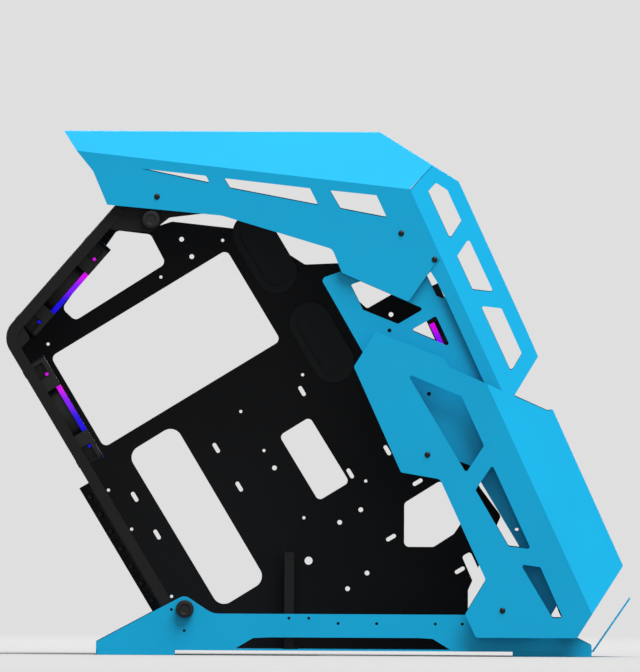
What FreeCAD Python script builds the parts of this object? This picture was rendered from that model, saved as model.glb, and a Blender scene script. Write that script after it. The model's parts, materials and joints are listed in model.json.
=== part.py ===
"""Open-frame mid tower computer case: slanted tray, folded covers and a folded base.

Millimetres. +X is the front, +Y the right-hand side seen from behind, +Z up.
The origin is the middle of the overall box, on the floor.
Side outlines are drawn in the X-Z plane and pushed across Y.
"""
import math
import os

import FreeCAD
import Part

Vec = FreeCAD.Vector

# Sheet and plate thicknesses
COVER_SHEET = 1.5
PLATE = 2.0
CHASSIS_SHEET = 1.2
FLOOR_SHEET = 1.5

# Half widths, from the middle plane out
PLATE_HALF = 104.0
TOP_STAND_OFF = 8.0
LOWER_STAND_OFF = 21.0
CABLE_ROOM = 26.0
TOP_COVER_HALF = PLATE_HALF + TOP_STAND_OFF
LOWER_COVER_HALF = PLATE_HALF + LOWER_STAND_OFF
TRAY_Y = PLATE_HALF - CABLE_ROOM

# Heights
FOOT_HEIGHT = 5.0
RIDGE_Z = 527.0

# Slopes, in degrees from the vertical
TRAY_TILT = 31.0
REAR_TOP_TILT = 41.0
FRONT_TILT = 24.8

# Standard board, slot, fan and supply sizes
ATX_ROW_TO_TOP = 157.48
ATX_ROW_TO_BOTTOM = 124.46
ATX_REAR_COLUMN = 154.94
ATX_TOP_REAR_COLUMN = 132.08
ATX_FRONT_COLUMN = 72.39
MICRO_ROW = 45.72
BOARD_REAR_MARGIN = 10.16
BOARD_HOLE_R = 1.6
SLOT_PITCH = 20.32
SLOT_COUNT = 7
SLOT_WIDTH = 14.0
SLOT_COVER_WIDTH = 18.4
SLOT_COVER_T = 0.9
SLOT_LAP = 2.0
NOTCH_LENGTH = 6.0
NOTCH_WIDTH = 3.4
IO_LENGTH = 158.75
IO_WIDTH = 44.45
FAN_SIZE = 120.0
FAN_DEPTH = 25.0
FAN_PITCH = 105.0
FAN_BORE = 113.0
FAN_HOLE_R = 2.2
SUPPLY_PITCH_WIDE = 138.0
SUPPLY_PITCH_HIGH = 64.0

# Places in the side view
BOARD_CENTRE = (-79.4, 244.8)
REAR_WALL_GAP = 2.9
FRONT_STRIP_N = 326.5
UPPER_FOLD_N = 279.0
LOWER_FOLD_N = 268.0
FAN_BACK_N = 240.0
FRONT_FAN_TOP_S = -291.0
FRONT_FAN_COUNT = 3

# Small parts
KNOB_R = 9.2
KNOB_HEIGHT = 9.0
SCREW_R = 1.5
SCREW_PLAY = 0.2
SCREW_HEAD_R = 3.0
SCREW_HEAD_T = 1.6
SCREW_SOCKET_R = 1.1
SLOT_SCREW_LENGTH = 4.0
SPACER_R = 4.0
PIN_R = 1.5
RUN_GAP = 0.05
BLADE_COUNT = 9

# Worked-out sizes
CHASSIS_HALF = PLATE_HALF - PLATE + CHASSIS_SHEET
BASE_HALF = PLATE_HALF + PLATE
FLOOR_TOP = FOOT_HEIGHT + FLOOR_SHEET
FAR = 2000.0
CUT_REACH = 10.0


def sin_cos(degrees):
    angle = math.radians(degrees)
    return math.sin(angle), math.cos(angle)


TRAY_SIN, TRAY_COS = sin_cos(TRAY_TILT)
REAR_SIN, REAR_COS = sin_cos(REAR_TOP_TILT)
FRONT_SIN, FRONT_COS = sin_cos(FRONT_TILT)


def board(p, d):
    """Side-view point, p forward and d down along the tray from the middle board hole."""
    x0, z0 = BOARD_CENTRE
    return (x0 + p * TRAY_COS + d * TRAY_SIN, z0 + p * TRAY_SIN - d * TRAY_COS)


def front(n, s):
    """Side-view point, n out along the front's normal and s down its slope."""
    return (n * FRONT_COS + s * FRONT_SIN, n * FRONT_SIN - s * FRONT_COS)


WALL_P = -(ATX_REAR_COLUMN + BOARD_REAR_MARGIN + REAR_WALL_GAP)
BEND_COS = math.cos(math.radians(TRAY_TILT + REAR_TOP_TILT))
CORNER_D = -189.5
REAR_CORNER = board(WALL_P, CORNER_D)


def rear_top(up, inward):
    """Side-view point on the upper rear wall, up from the rear corner, inward from its face."""
    x0, z0 = REAR_CORNER
    return (x0 + up * REAR_SIN + inward * REAR_COS, z0 + up * REAR_COS - inward * REAR_SIN)


def corner_in(depth):
    """Side-view point inside the rear corner, as deep as that from both walls."""
    x0, z0 = REAR_CORNER
    reach = depth / (1 + BEND_COS)
    return (x0 + reach * (TRAY_COS + REAR_COS), z0 + reach * (TRAY_SIN - REAR_SIN))


def rounded_wire(points, radius=0.0, y=0.0):
    """Closed wire through side-view points; each corner may bring its own radius."""
    corners = [(Vec(p[0], y, p[1]), p[2] if len(p) > 2 else radius) for p in points]
    starts, ends, edges = [], [], []
    count = len(corners)
    for i, (corner, r) in enumerate(corners):
        before = corners[i - 1][0] - corner
        after = corners[(i + 1) % count][0] - corner
        if r <= 0:
            starts.append(corner)
            ends.append(corner)
            continue
        half = before.getAngle(after) / 2
        back = r / math.tan(half)
        middle = (before.normalize() + after.normalize()).normalize()
        start = corner + before * back
        end = corner + after * back
        top = corner + middle * (r / math.sin(half) - r)
        starts.append(start)
        ends.append(end)
        edges.append((i, Part.Arc(start, top, end).toShape()))
    arcs = dict(edges)
    path = []
    for i in range(count):
        if i in arcs:
            path.append(arcs[i])
        nxt = starts[(i + 1) % count]
        if (nxt - ends[i]).Length > 1e-6:
            path.append(Part.makeLine(ends[i], nxt))
    return Part.Wire(path)


def plate(points, y0, y1, radius=0.0):
    """Side-view outline pushed from y0 to y1."""
    face = Part.Face(rounded_wire(points, radius, y0))
    return face.extrude(Vec(0, y1 - y0, 0))


def through(points, radius=0.0):
    """A cutter of a side-view outline, right across the case."""
    return plate(points, -FAR, FAR, radius)


def rod(x, z, r, y0, y1):
    return Part.makeCylinder(r, y1 - y0, Vec(x, y0, z), Vec(0, 1, 0))


def holes(places, r):
    return [rod(x, z, r, -FAR, FAR) for x, z in places]


def oblong(x, z, length, width, tilt, y0, y1):
    """A slot with round ends, its length turned tilt degrees from the vertical."""
    s, c = sin_cos(tilt)
    reach = (length - width) / 2
    a = Vec(x - s * reach, y0, z + c * reach)
    b = Vec(x + s * reach, y0, z - c * reach)
    side = Vec(c, 0, s) * (width / 2)
    tip = Vec(-s, 0, c) * (width / 2)
    wire = Part.Wire([
        Part.makeLine(b + side, a + side),
        Part.Arc(a + side, a + tip, a - side).toShape(),
        Part.makeLine(a - side, b - side),
        Part.Arc(b - side, b - tip, b + side).toShape(),
    ])
    return Part.Face(wire).extrude(Vec(0, y1 - y0, 0))


def mirrored(shape):
    return shape.mirror(Vec(0, 0, 0), Vec(0, 1, 0))


def joined(shapes):
    whole = shapes[0]
    if len(shapes) > 1:
        whole = whole.fuse(shapes[1:])
    return whole.removeSplitter()


def beyond(point, normal):
    """A block that fills the space past a plane, on the side its normal points to."""
    block = Part.makeBox(2 * FAR, 2 * FAR, FAR, Vec(-FAR, -FAR, 0))
    block.Placement = FreeCAD.Placement(point, FreeCAD.Rotation(Vec(0, 0, 1), normal))
    return block


def slanted_frame(origin_xz, along, y):
    """Placement whose X runs along a side-view direction, Y across the case, Z the normal."""
    ax = Vec(along[0], 0, along[1])
    ay = Vec(0, 1, 0)
    az = ax.cross(ay)
    turn = FreeCAD.Rotation(ax, ay, az, "XYZ")
    return FreeCAD.Placement(Vec(origin_xz[0], y, origin_xz[1]), turn)


parts = {}


# Covers

def cover_body(half, bevel_points, bevel_gain, roofs, inset):
    """The closed form of a cover, all its planes moved in by inset."""
    body = Part.makeBox(2 * FAR, 2 * (half - inset), 2 * FAR, Vec(-FAR, inset - half, -FAR))
    for (x, z), (nx, nz) in roofs:
        normal = Vec(nx, 0, nz)
        body = body.cut(beyond(Vec(x, 0, z) - normal * inset, normal))
    (x0, z0), (nx, nz) = bevel_points
    normal = Vec(nx * bevel_gain, -1, nz * bevel_gain).normalize()
    edge = Vec(x0, -half, z0) - normal * inset
    cutter = beyond(edge, normal)
    return body.cut([cutter, mirrored(cutter)])


def cover(half, bevel_points, bevel_gain, roofs, outline, windows):
    outer = cover_body(half, bevel_points, bevel_gain, roofs, 0.0)
    inner = cover_body(half, bevel_points, bevel_gain, roofs, COVER_SHEET)
    reach = half + 10.0
    shell = plate(outline, -reach, reach).common(outer).cut(inner)
    return shell.cut(windows)


# The upper fold line drops towards the front; the front fold lines follow the front slope
TOP_FOLD_START = (-246.0, 507.5)
TOP_FOLD_END = (89.6, 470.2)
FRONT_BEVEL_GAIN = 1.0
HOOD_REAR = (-258.4, RIDGE_Z)
HOOD_BEND = (59.4, RIDGE_Z)
HOOD_FRONT = (112.2, 494.2)
UPPER_TIP = (138.6, 478.5)


def unit(a, b):
    length = math.hypot(b[0] - a[0], b[1] - a[1])
    return ((b[0] - a[0]) / length, (b[1] - a[1]) / length)


def left_normal(a, b):
    ux, uz = unit(a, b)
    return (-uz, ux)


TOP_BEVEL_NORMAL = left_normal(TOP_FOLD_START, TOP_FOLD_END)
FRONT_NORMAL = (FRONT_COS, FRONT_SIN)


def height_over(line_point, normal, point):
    return (point[0] - line_point[0]) * normal[0] + (point[1] - line_point[1]) * normal[1]


# Both bevels reach the same inset at the seam's top end, so the covers meet there
SEAM_INSET = (height_over((0, 0), FRONT_NORMAL, HOOD_FRONT) - UPPER_FOLD_N) * FRONT_BEVEL_GAIN
TOP_BEVEL_GAIN = SEAM_INSET / height_over(TOP_FOLD_START, TOP_BEVEL_NORMAL, HOOD_FRONT)
HOOD_SLOPE_NORMAL = left_normal(HOOD_BEND, HOOD_FRONT)

TOP_OUTLINE = [
    HOOD_REAR, HOOD_BEND, HOOD_FRONT, TOP_FOLD_END, (120.4, 400.8), (116.4, 396.8, 3),
    (88.9, 357.0, 3), (21.8, 385.8, 3), (12.0, 409.6, 8), (-99.3, 442.8, 30), (-214.9, 453.2),
    (-229.4, 487.2), TOP_FOLD_START,
]
TOP_SLOTS = [
    [(-183.0, 489.9, 0.1), (-115.6, 482.8), (-111.5, 475.2)],
    [(-97.5, 480.5), (-10.8, 470.7), (-2.2, 453.6), (-91.3, 470.3)],
    [(9.0, 468.8), (56.2, 464.0), (66.8, 441.4), (20.0, 450.2)],
]
SLOT_ROUNDING = 1.2
WINDOW_ROUNDING = 2.0
TOP_SCREWS = [(-164.8, 461.6), (81.3, 425.8), (115.0, 399.6)]

# Switch and port panel in the hood's ridge, all along its middle line
POWER_X = 20.0
POWER_R = 7.0
BUTTON_GAP = 0.35
PORT_XS = [-4.0, -22.0]
PORT_LENGTH = 13.2
PORT_WIDTH = 5.8
JACK_XS = [-40.0, -52.0]
JACK_R = 3.2
RESET_X = 36.0
RESET_R = 3.0


def port_cutters(grow):
    """Openings of the switch and port panel, through the ridge."""
    cutters = []
    low, depth = RIDGE_Z - 2 * CUT_REACH, 4 * CUT_REACH
    for x, r in [(POWER_X, POWER_R), (RESET_X, RESET_R)] + [(x, JACK_R) for x in JACK_XS]:
        cutters.append(Part.makeCylinder(r + grow, depth, Vec(x, 0, low)))
    for x in PORT_XS:
        size = (PORT_LENGTH + 2 * grow, PORT_WIDTH + 2 * grow)
        corner = Vec(x - size[0] / 2, -size[1] / 2, low)
        cutters.append(Part.makeBox(size[0], size[1], depth, corner))
    return cutters


top_cutters = [through(s, SLOT_ROUNDING) for s in TOP_SLOTS]
top_cutters += holes(TOP_SCREWS, SCREW_R + SCREW_PLAY) + port_cutters(BUTTON_GAP)
parts["top_cover"] = cover(
    TOP_COVER_HALF, (TOP_FOLD_START, TOP_BEVEL_NORMAL), TOP_BEVEL_GAIN,
    [(HOOD_BEND, (0.0, 1.0)), (HOOD_BEND, HOOD_SLOPE_NORMAL)], TOP_OUTLINE, top_cutters)

UPPER_HALF = TOP_COVER_HALF - COVER_SHEET
FLANGE_DEPTH = 13.0
UPPER_END_S = -150.0
SEAM_END = (90.3, 469.2)
UPPER_OUTLINE = [
    HOOD_FRONT, UPPER_TIP, (141.2, 479.6), (219.6, 302.0), (196.5, 263.8), front(UPPER_FOLD_N, UPPER_END_S),
    front(UPPER_FOLD_N - FLANGE_DEPTH, UPPER_END_S), (127.2, 359.0), (117.0, 378.0), (103.0, 400.0),
    (92.0, 440.0), SEAM_END,
]
UPPER_WINDOWS = [
    [(108.0, 468.0), (116.0, 476.8), (127.6, 469.3), (141.9, 438.2), (130.4, 420.0)],
    [(137.5, 402.9), (149.2, 420.6), (174.5, 366.9), (153.3, 369.2)],
    [(161.6, 353.0), (182.6, 350.6), (203.3, 305.1), (192.5, 286.6)],
]
UPPER_SCREWS = [front(UPPER_FOLD_N - FLANGE_DEPTH / 2, UPPER_END_S - 8.0)]
upper_cutters = [through(w, WINDOW_ROUNDING) for w in UPPER_WINDOWS]
upper_cutters += holes([TOP_SCREWS[2]] + UPPER_SCREWS, SCREW_R + SCREW_PLAY)
parts["front_upper_cover"] = cover(
    UPPER_HALF, (front(UPPER_FOLD_N, 0.0), FRONT_NORMAL), FRONT_BEVEL_GAIN,
    [(HOOD_BEND, HOOD_SLOPE_NORMAL), (front(FRONT_STRIP_N, 0.0), FRONT_NORMAL)],
    UPPER_OUTLINE, upper_cutters)

LOWER_STRIP_N = 317.5
LOWER_OUTLINE = [
    (56.4, 327.0, 2), (124.4, 300.7, 3), (130.5, 291.4, 3), (229.5, 247.7), (234.6, 248.8),
    (306.2, 91.7, 2), (260.2, 19.0, 2), (158.5, 19.0, 3), (147.4, 42.5, 3), (168.3, 76.9, 6),
    (121.5, 178.5, 6), (82.2, 185.2, 3), (34.2, 291.4, 4),
]
LOWER_WINDOWS = [
    [(87.8, 284.9), (142.8, 262.0), (165.7, 212.3), (147.7, 185.0)],
    [(157.3, 167.9), (174.3, 193.2), (213.5, 108.5), (190.8, 111.2)],
    [(203.0, 93.2), (223.1, 90.4), (246.0, 39.2), (235.5, 39.2)],
]
LOWER_SCREWS = [(108.8, 203.1), (185.1, 46.5)]
lower_cutters = [through(w, WINDOW_ROUNDING) for w in LOWER_WINDOWS]
lower_cutters += holes(LOWER_SCREWS, SCREW_R + SCREW_PLAY)
parts["front_lower_cover"] = cover(
    LOWER_COVER_HALF, (front(LOWER_FOLD_N, 0.0), FRONT_NORMAL), FRONT_BEVEL_GAIN,
    [(front(LOWER_STRIP_N, 0.0), FRONT_NORMAL)], LOWER_OUTLINE, lower_cutters)

# Side plates under the covers
SIDE_FRONT_N = 277.0
SIDE_OUTLINE = [
    (0.6, 379.9, 4), (21.6, 387.5, 4), (45.0, 396.0), front(SIDE_FRONT_N, -352.0),
    front(SIDE_FRONT_N, 24.0), (248.5, 66.0), (222.0, 22.0, 4), (176.0, 22.0, 4), (168.0, 52.0, 4),
    (206.0, 86.0), (201.1, 112.1), (162.8, 175.5, 3), (154.2, 191.6, 3), (140.6, 196.6, 4),
    (100.0, 191.5, 4), (42.4, 307.3),
]
SIDE_WINDOWS = [
    [(30.5, 373.8), (40.5, 377.3), (104.6, 349.9), (78.5, 334.5), (43.2, 348.6)],
    [(91.2, 328.2), (116.7, 342.9), (131.6, 311.5)],
    [(107.2, 383.2), (112.4, 389.2), (127.7, 358.6), (117.1, 363.1)],
]
SIDE_HOLE_R = 2.0
SIDE_HOLES = [(69.9, 327.9), (110.0, 264.3), (199.0, 127.8)]
side = plate(SIDE_OUTLINE, -PLATE_HALF, PLATE - PLATE_HALF)
side = side.cut([through(w, WINDOW_ROUNDING) for w in SIDE_WINDOWS])
screw_places = LOWER_SCREWS + TOP_SCREWS[1:] + UPPER_SCREWS
side = side.cut(holes(SIDE_HOLES, SIDE_HOLE_R) + holes(screw_places, SCREW_R))
parts["side_plate_left"] = side
parts["side_plate_right"] = mirrored(side)

# Base: floor, two upturned sides and a front lip folded from one sheet
BASE_REAR_X = -224.0
BASE_FRONT_X = 275.0
EAR = (-134.8, 46.6)
LIP_START_X = BASE_FRONT_X + 2.0
LIP_ROOT = 4.0
LIP_RISE = 54.0
LIP_RUN = 37.0
LIP_HALF = 92.0
LIP_CORNER = 22.0
INTAKE_X0 = 0.0
INTAKE_SIDE = 120.0
EAR_HOLE_R = 2.0
BASE_OUTLINE = [
    (BASE_REAR_X, FOOT_HEIGHT), (BASE_REAR_X, 13.0, 2), (-149.0, 53.2, 6), (-134.8, 60.6, 9),
    (-107.0, 42.0, 22), (147.4, 42.0), (180.0, 36.5), (260.2, 19.0),
    (BASE_FRONT_X, 11.5, 3), (BASE_FRONT_X, FOOT_HEIGHT),
]
BASE_NOTCH = [
    (-89.0, FOOT_HEIGHT - 1), (-66.0, 17.6, 4), (-50.0, 18.4, 2), (101.2, 18.4, 2), (115.0, 17.6, 4),
    (137.0, FOOT_HEIGHT - 1),
]
BASE_HOLES = [
    (-148.3, 45.9), (-135.3, 24.7), (-29.9, 37.8), (-9.9, 37.8), (19.7, 32.6), (58.5, 32.6),
    (117.5, 32.6), (144.7, 32.6),
]


def base_tray():
    wall = plate(BASE_OUTLINE, -BASE_HALF, PLATE - BASE_HALF)
    wall = wall.cut([through(BASE_NOTCH)] + holes(BASE_HOLES, SCREW_R) + holes([EAR], EAR_HOLE_R))
    floor = Part.makeBox(BASE_FRONT_X - BASE_REAR_X, 2 * BASE_HALF, FLOOR_SHEET,
                         Vec(BASE_REAR_X, -BASE_HALF, FOOT_HEIGHT))
    intake = Part.makeBox(INTAKE_SIDE, INTAKE_SIDE, FAR, Vec(INTAKE_X0, -INTAKE_SIDE / 2, 0))
    # The lip is the floor sheet bent up; its outer corners are cut off
    slope = math.hypot(LIP_RUN, LIP_RISE)
    across = (-LIP_RISE / slope * FLOOR_SHEET, LIP_RUN / slope * FLOOR_SHEET)
    tip = (LIP_START_X + LIP_RUN, FOOT_HEIGHT + LIP_RISE)
    bend = math.tan(math.atan2(LIP_RISE, LIP_RUN) / 2) * FLOOR_SHEET
    lip = plate([(BASE_FRONT_X - LIP_ROOT, FOOT_HEIGHT), (LIP_START_X, FOOT_HEIGHT), tip,
                 (tip[0] + across[0], tip[1] + across[1]),
                 (LIP_START_X - bend, FLOOR_TOP), (BASE_FRONT_X - LIP_ROOT, FLOOR_TOP)],
                -LIP_HALF, LIP_HALF)
    trim = Part.makePolygon([Vec(FAR, LIP_HALF, 0), Vec(tip[0] - LIP_CORNER, LIP_HALF, 0),
                             Vec(tip[0], LIP_HALF - LIP_CORNER, 0), Vec(FAR, LIP_HALF - LIP_CORNER, 0),
                             Vec(FAR, LIP_HALF, 0)])
    corner = Part.Face(trim).extrude(Vec(0, 0, FAR))
    lip = lip.cut([corner, mirrored(corner)])
    return joined([wall, mirrored(wall), floor.cut(intake), lip])


parts["base_tray"] = base_tray()

FOOT_LENGTH = 79.5
FOOT_WIDTH = 26.0
FOOT_RADIUS = 2.0
for end, x0 in (("rear", BASE_REAR_X), ("front", BASE_FRONT_X - FOOT_LENGTH)):
    foot = Part.makeBox(FOOT_LENGTH, FOOT_WIDTH, FOOT_HEIGHT, Vec(x0, -BASE_HALF, 0))
    upright = [e for e in foot.Edges if abs(e.tangentAt(e.FirstParameter).z) > 0.9]
    foot = foot.makeFillet(FOOT_RADIUS, upright)
    parts["foot_%s_left" % end] = foot
    parts["foot_%s_right" % end] = mirrored(foot)

# Chassis: rear walls with flanges, tray, top rails and front fan plate
FLANGE = 11.0
REAR_TOP_LENGTH = 176.0
WALL_END_D = 146.0
CORNER_R = 22.0
UPPER_FAN_UP = 77.6
UPPER_FAN_Y = -12.0
LOWER_FAN_D = -90.7
LOWER_FAN_Y = -38.0
IO_TOP_D = -171.5
IO_NEAR_Y = 28.5
SLOT_TAB_Y = -36.0
SLOT_FOOT_Y = 70.0
TAB_REACH = 11.0
FIRST_SLOT_D = -4.0
SLOT_DS = [FIRST_SLOT_D + i * SLOT_PITCH for i in range(SLOT_COUNT)]
TAB_BAND = 3.0


def rear_frame():
    """Both rear walls, folded at the rear corner, with a flange down each side."""
    top_out = rear_top(REAR_TOP_LENGTH, 0)
    low_out = board(WALL_P, WALL_END_D)
    low_in = board(WALL_P + CHASSIS_SHEET, WALL_END_D)
    top_in = rear_top(REAR_TOP_LENGTH, CHASSIS_SHEET)
    skin = [top_out, (*REAR_CORNER, CORNER_R), low_out, low_in,
            (*corner_in(CHASSIS_SHEET), CORNER_R - CHASSIS_SHEET), top_in]
    wall = plate(skin, -CHASSIS_HALF, CHASSIS_HALF)
    band = [top_out, (*REAR_CORNER, CORNER_R), low_out, board(WALL_P + FLANGE, WALL_END_D),
            (*corner_in(FLANGE), CORNER_R - FLANGE), rear_top(REAR_TOP_LENGTH, FLANGE)]
    flange = plate(band, -CHASSIS_HALF, CHASSIS_SHEET - CHASSIS_HALF)
    return joined([wall, flange, mirrored(flange)])


def across_wall(origin, along, y, shape):
    """Moves a cutter drawn flat on a wall (X along it, Y across) to the wall."""
    placed = shape.copy()
    placed.Placement = slanted_frame(origin, along, y)
    return placed


def corners_of(pitch_x, pitch_y):
    """The four corners of a rectangle about the origin."""
    return [(sx * pitch_x / 2, sy * pitch_y / 2) for sx in (-1, 1) for sy in (-1, 1)]


def fan_opening():
    """Round air opening and four screw holes, drawn flat about the fan's centre."""
    cutters = [Part.makeCylinder(FAN_BORE / 2, 2 * CUT_REACH, Vec(0, 0, -CUT_REACH))]
    for x, y in corners_of(FAN_PITCH, FAN_PITCH):
        cutters.append(Part.makeCylinder(FAN_HOLE_R, 2 * CUT_REACH, Vec(x, y, -CUT_REACH)))
    return Part.makeCompound(cutters)


DOWN_TRAY = (TRAY_SIN, -TRAY_COS)
UP_REAR = (REAR_SIN, REAR_COS)
DOWN_FRONT = (FRONT_SIN, -FRONT_COS)


def rear_cutters():
    cutters = [across_wall(rear_top(UPPER_FAN_UP, 0), UP_REAR, UPPER_FAN_Y, fan_opening()),
               across_wall(board(WALL_P, LOWER_FAN_D), DOWN_TRAY, LOWER_FAN_Y, fan_opening())]
    io = Part.makeBox(IO_LENGTH, IO_WIDTH, 2 * CUT_REACH, Vec(0, 0, -CUT_REACH))
    cutters.append(across_wall(board(WALL_P, IO_TOP_D), DOWN_TRAY, IO_NEAR_Y, io))
    slot = Part.makeBox(SLOT_WIDTH, SLOT_FOOT_Y - SLOT_TAB_Y, 2 * CUT_REACH,
                        Vec(-SLOT_WIDTH / 2, 0, -CUT_REACH))
    for d in SLOT_DS:
        cutters.append(across_wall(board(WALL_P, d), DOWN_TRAY, SLOT_TAB_Y, slot))
    # A band above the slots lets the covers' bent tabs out over the rail
    band = Part.makeBox(SLOT_COUNT * SLOT_PITCH, TAB_BAND, 2 * CUT_REACH,
                        Vec(-SLOT_PITCH / 2, -TAB_BAND, -CUT_REACH))
    cutters.append(across_wall(board(WALL_P, FIRST_SLOT_D), DOWN_TRAY, SLOT_TAB_Y, band))
    return cutters


parts["rear_frame"] = rear_frame().cut(rear_cutters())


def wall_box(d0, d1, p0, p1, y0, y1):
    """A block between two depths d along the tray, two distances p and two widths y."""
    outline = [board(p0, d0), board(p1, d0), board(p1, d1), board(p0, d1)]
    return plate(outline, y0, y1)


RAIL_START_D = SLOT_DS[0] - 13.0
RAIL_END_D = SLOT_DS[-1] + 9.6
RAIL_LEG = 8.0
RAIL_LEG_GAP = 0.4
SLOT_SPOTS = [board(WALL_P - TAB_REACH / 2, d) for d in SLOT_DS]


def slot_rail():
    """Shelf outside the rear wall that the slot covers' tabs are screwed to."""
    y0, y1 = SLOT_TAB_Y, SLOT_TAB_Y + CHASSIS_SHEET
    shelf = wall_box(RAIL_START_D, RAIL_END_D, WALL_P - TAB_REACH, WALL_P, y0, y1)
    # Legs lie against the wall between the slots
    half = (SLOT_PITCH - SLOT_WIDTH) / 2 - RAIL_LEG_GAP
    legs = []
    for d in SLOT_DS[1:]:
        middle = d - SLOT_PITCH / 2
        legs.append(wall_box(middle - half, middle + half, WALL_P - CHASSIS_SHEET, WALL_P, y0, y0 + RAIL_LEG))
    return joined([shelf] + legs).cut(holes(SLOT_SPOTS, SCREW_R))


parts["slot_rail"] = slot_rail()


def slot_cover(d, spot):
    """Blank bracket behind one slot, its tab bent out over the rail."""
    half = SLOT_COVER_WIDTH / 2
    p_in = WALL_P + CHASSIS_SHEET
    near_y = SLOT_TAB_Y - SLOT_COVER_T
    body = wall_box(d - half, d + half, p_in, p_in + SLOT_COVER_T, near_y, SLOT_FOOT_Y + SLOT_LAP)
    tab = wall_box(d - half, d + half, WALL_P - TAB_REACH, p_in + SLOT_COVER_T, near_y, SLOT_TAB_Y)
    notch = oblong(*spot, NOTCH_LENGTH, NOTCH_WIDTH, TRAY_TILT, -FAR, 0)
    return joined([body, tab]).cut(notch)


for i, (d, spot) in enumerate(zip(SLOT_DS, SLOT_SPOTS)):
    parts["slot_cover_%d" % (i + 1)] = slot_cover(d, spot)


def screw(x, z, head_y, length, side_sign=-1):
    """A pan-head screw along Y: its head's seat is at head_y and the shank goes inward."""
    head = rod(x, z, SCREW_HEAD_R, head_y - SCREW_HEAD_T, head_y)
    shank = rod(x, z, SCREW_R, head_y, head_y + length)
    socket = rod(x, z, SCREW_SOCKET_R, head_y - SCREW_HEAD_T, head_y - SCREW_HEAD_T / 2)
    whole = joined([head, shank]).cut(socket)
    return whole if side_sign < 0 else mirrored(whole)


def both_sides(places, head_half, length):
    return [screw(x, z, -head_half, length, s) for x, z in places for s in (-1, 1)]


parts["slot_screws"] = Part.makeCompound(
    [screw(x, z, SLOT_TAB_Y - SLOT_COVER_T, SLOT_SCREW_LENGTH) for x, z in SLOT_SPOTS])

# Tray
TRAY_FRONT_N = 218.0
FAN_PLATE_N = FAN_BACK_N - CHASSIS_SHEET
wall_in = WALL_P + CHASSIS_SHEET
CORNER_CUT = 22.0
TRAY_OUTLINE = [
    rear_top(146.0, CHASSIS_SHEET), (-161.0, 432.0, 3), (-149.6, 435.8, 8), (-69.0, 427.1, 10),
    (-15.5, 393.1, 6), (20.8, 394.8, 6), (33.0, 362.0), (47.2, 349.1, 3), (71.8, 363.4, 3),
    front(FAN_PLATE_N, -290.0), front(FAN_PLATE_N, -272.0), (88.0, 331.0, 3),
    front(TRAY_FRONT_N, -86.0), (183.1, 141.0, 5), (150.3, 66.0, 3), (150.3, 46.0),
    (232.0, 46.0), (232.0, FLOOR_TOP), (-124.0, FLOOR_TOP), board(wall_in, 139.0),
    board(wall_in, CORNER_D + CORNER_CUT), rear_top(CORNER_CUT, CHASSIS_SHEET),
]
TRAY_WINDOWS = [
    ([(-204.9, 426.5), (-171.0, 422.6), (-155.5, 393.5), (-246.5, 335.5), (-259.8, 347.6)], 6),
    ([(-94.5, 407.5), (-39.5, 316.5), (-216.8, 208.0), (-271.0, 299.0)], 6),
    ([(-193.5, 202.0), (-146.0, 231.5), (-53.0, 75.2), (-99.3, 46.5)], 12),
    ([(-40.5, 220.6), (-10.0, 239.6), (30.4, 174.2), (-0.7, 155.2)], 5),
    ([(85.7, 153.5), (85.7, 109.4), (115.3, 109.4), (135.6, 122.5), (146.0, 138.0), (122.9, 176.8)], 5),
    ([(144.0, 100.0), (152.5, 105.0), (166.0, 76.0), (158.0, 68.0)], 3),
]
ATX_HOLES = [
    board(-ATX_TOP_REAR_COLUMN, -ATX_ROW_TO_TOP), board(0, -ATX_ROW_TO_TOP),
    board(ATX_FRONT_COLUMN, -ATX_ROW_TO_TOP), board(-ATX_REAR_COLUMN, 0), board(0, 0),
    board(ATX_FRONT_COLUMN, 0), board(-ATX_REAR_COLUMN, MICRO_ROW), board(0, MICRO_ROW),
    board(0, ATX_ROW_TO_BOTTOM), board(ATX_FRONT_COLUMN, ATX_ROW_TO_BOTTOM),
    board(-ATX_REAR_COLUMN, ATX_ROW_TO_BOTTOM),
]
OTHER_HOLES = [
    (-139.8, 417.9), (-129.5, 400.5), (-10.9, 328.5), (2.9, 342.2), (-45.2, 188.2), (41.9, 146.5),
    (20.7, 133.7), (48.5, 82.8), (29.0, 66.9), (71.4, 343.2),
]
TIE_SLOTS = [
    (-185.8, 158.4), (-163.0, 120.5), (-103.9, 208.0), (-80.6, 169.2), (-17.8, 265.7),
    (31.1, 183.0), (68.3, 206.5),
]
TIE_SLOTS_ACROSS = [(99.0, 174.5), (72.5, 118.5), (141.9, 86.0)]
TIE_LENGTH = 11.0
TIE_WIDTH = 4.0
OTHER_HOLE_R = 2.4
CORD_HOLE = (-10.4, 94.9)
CORD_HOLE_R = 4.0
GROMMETS = [board(102.2, -125.0), board(105.8, -18.0)]
GROMMET_LENGTH = 87.0
GROMMET_WIDTH = 42.0
GROMMET_LIP = 6.0
GROMMET_BITE = 1.0
GROMMET_RISE = 1.6
GROMMET_WALL = 2.0
WEB_T = 1.2
SLIT = 0.2
SLIT_REACH = 11.0
STAR_APART = 22.0
STAR_TURNS = (0, 60, 120)
CUT_LENGTH = GROMMET_LENGTH - 2 * (GROMMET_LIP - GROMMET_BITE)
CUT_WIDTH = GROMMET_WIDTH - 2 * (GROMMET_LIP - GROMMET_BITE)
TRAY_BACK = TRAY_Y + CHASSIS_SHEET


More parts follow.
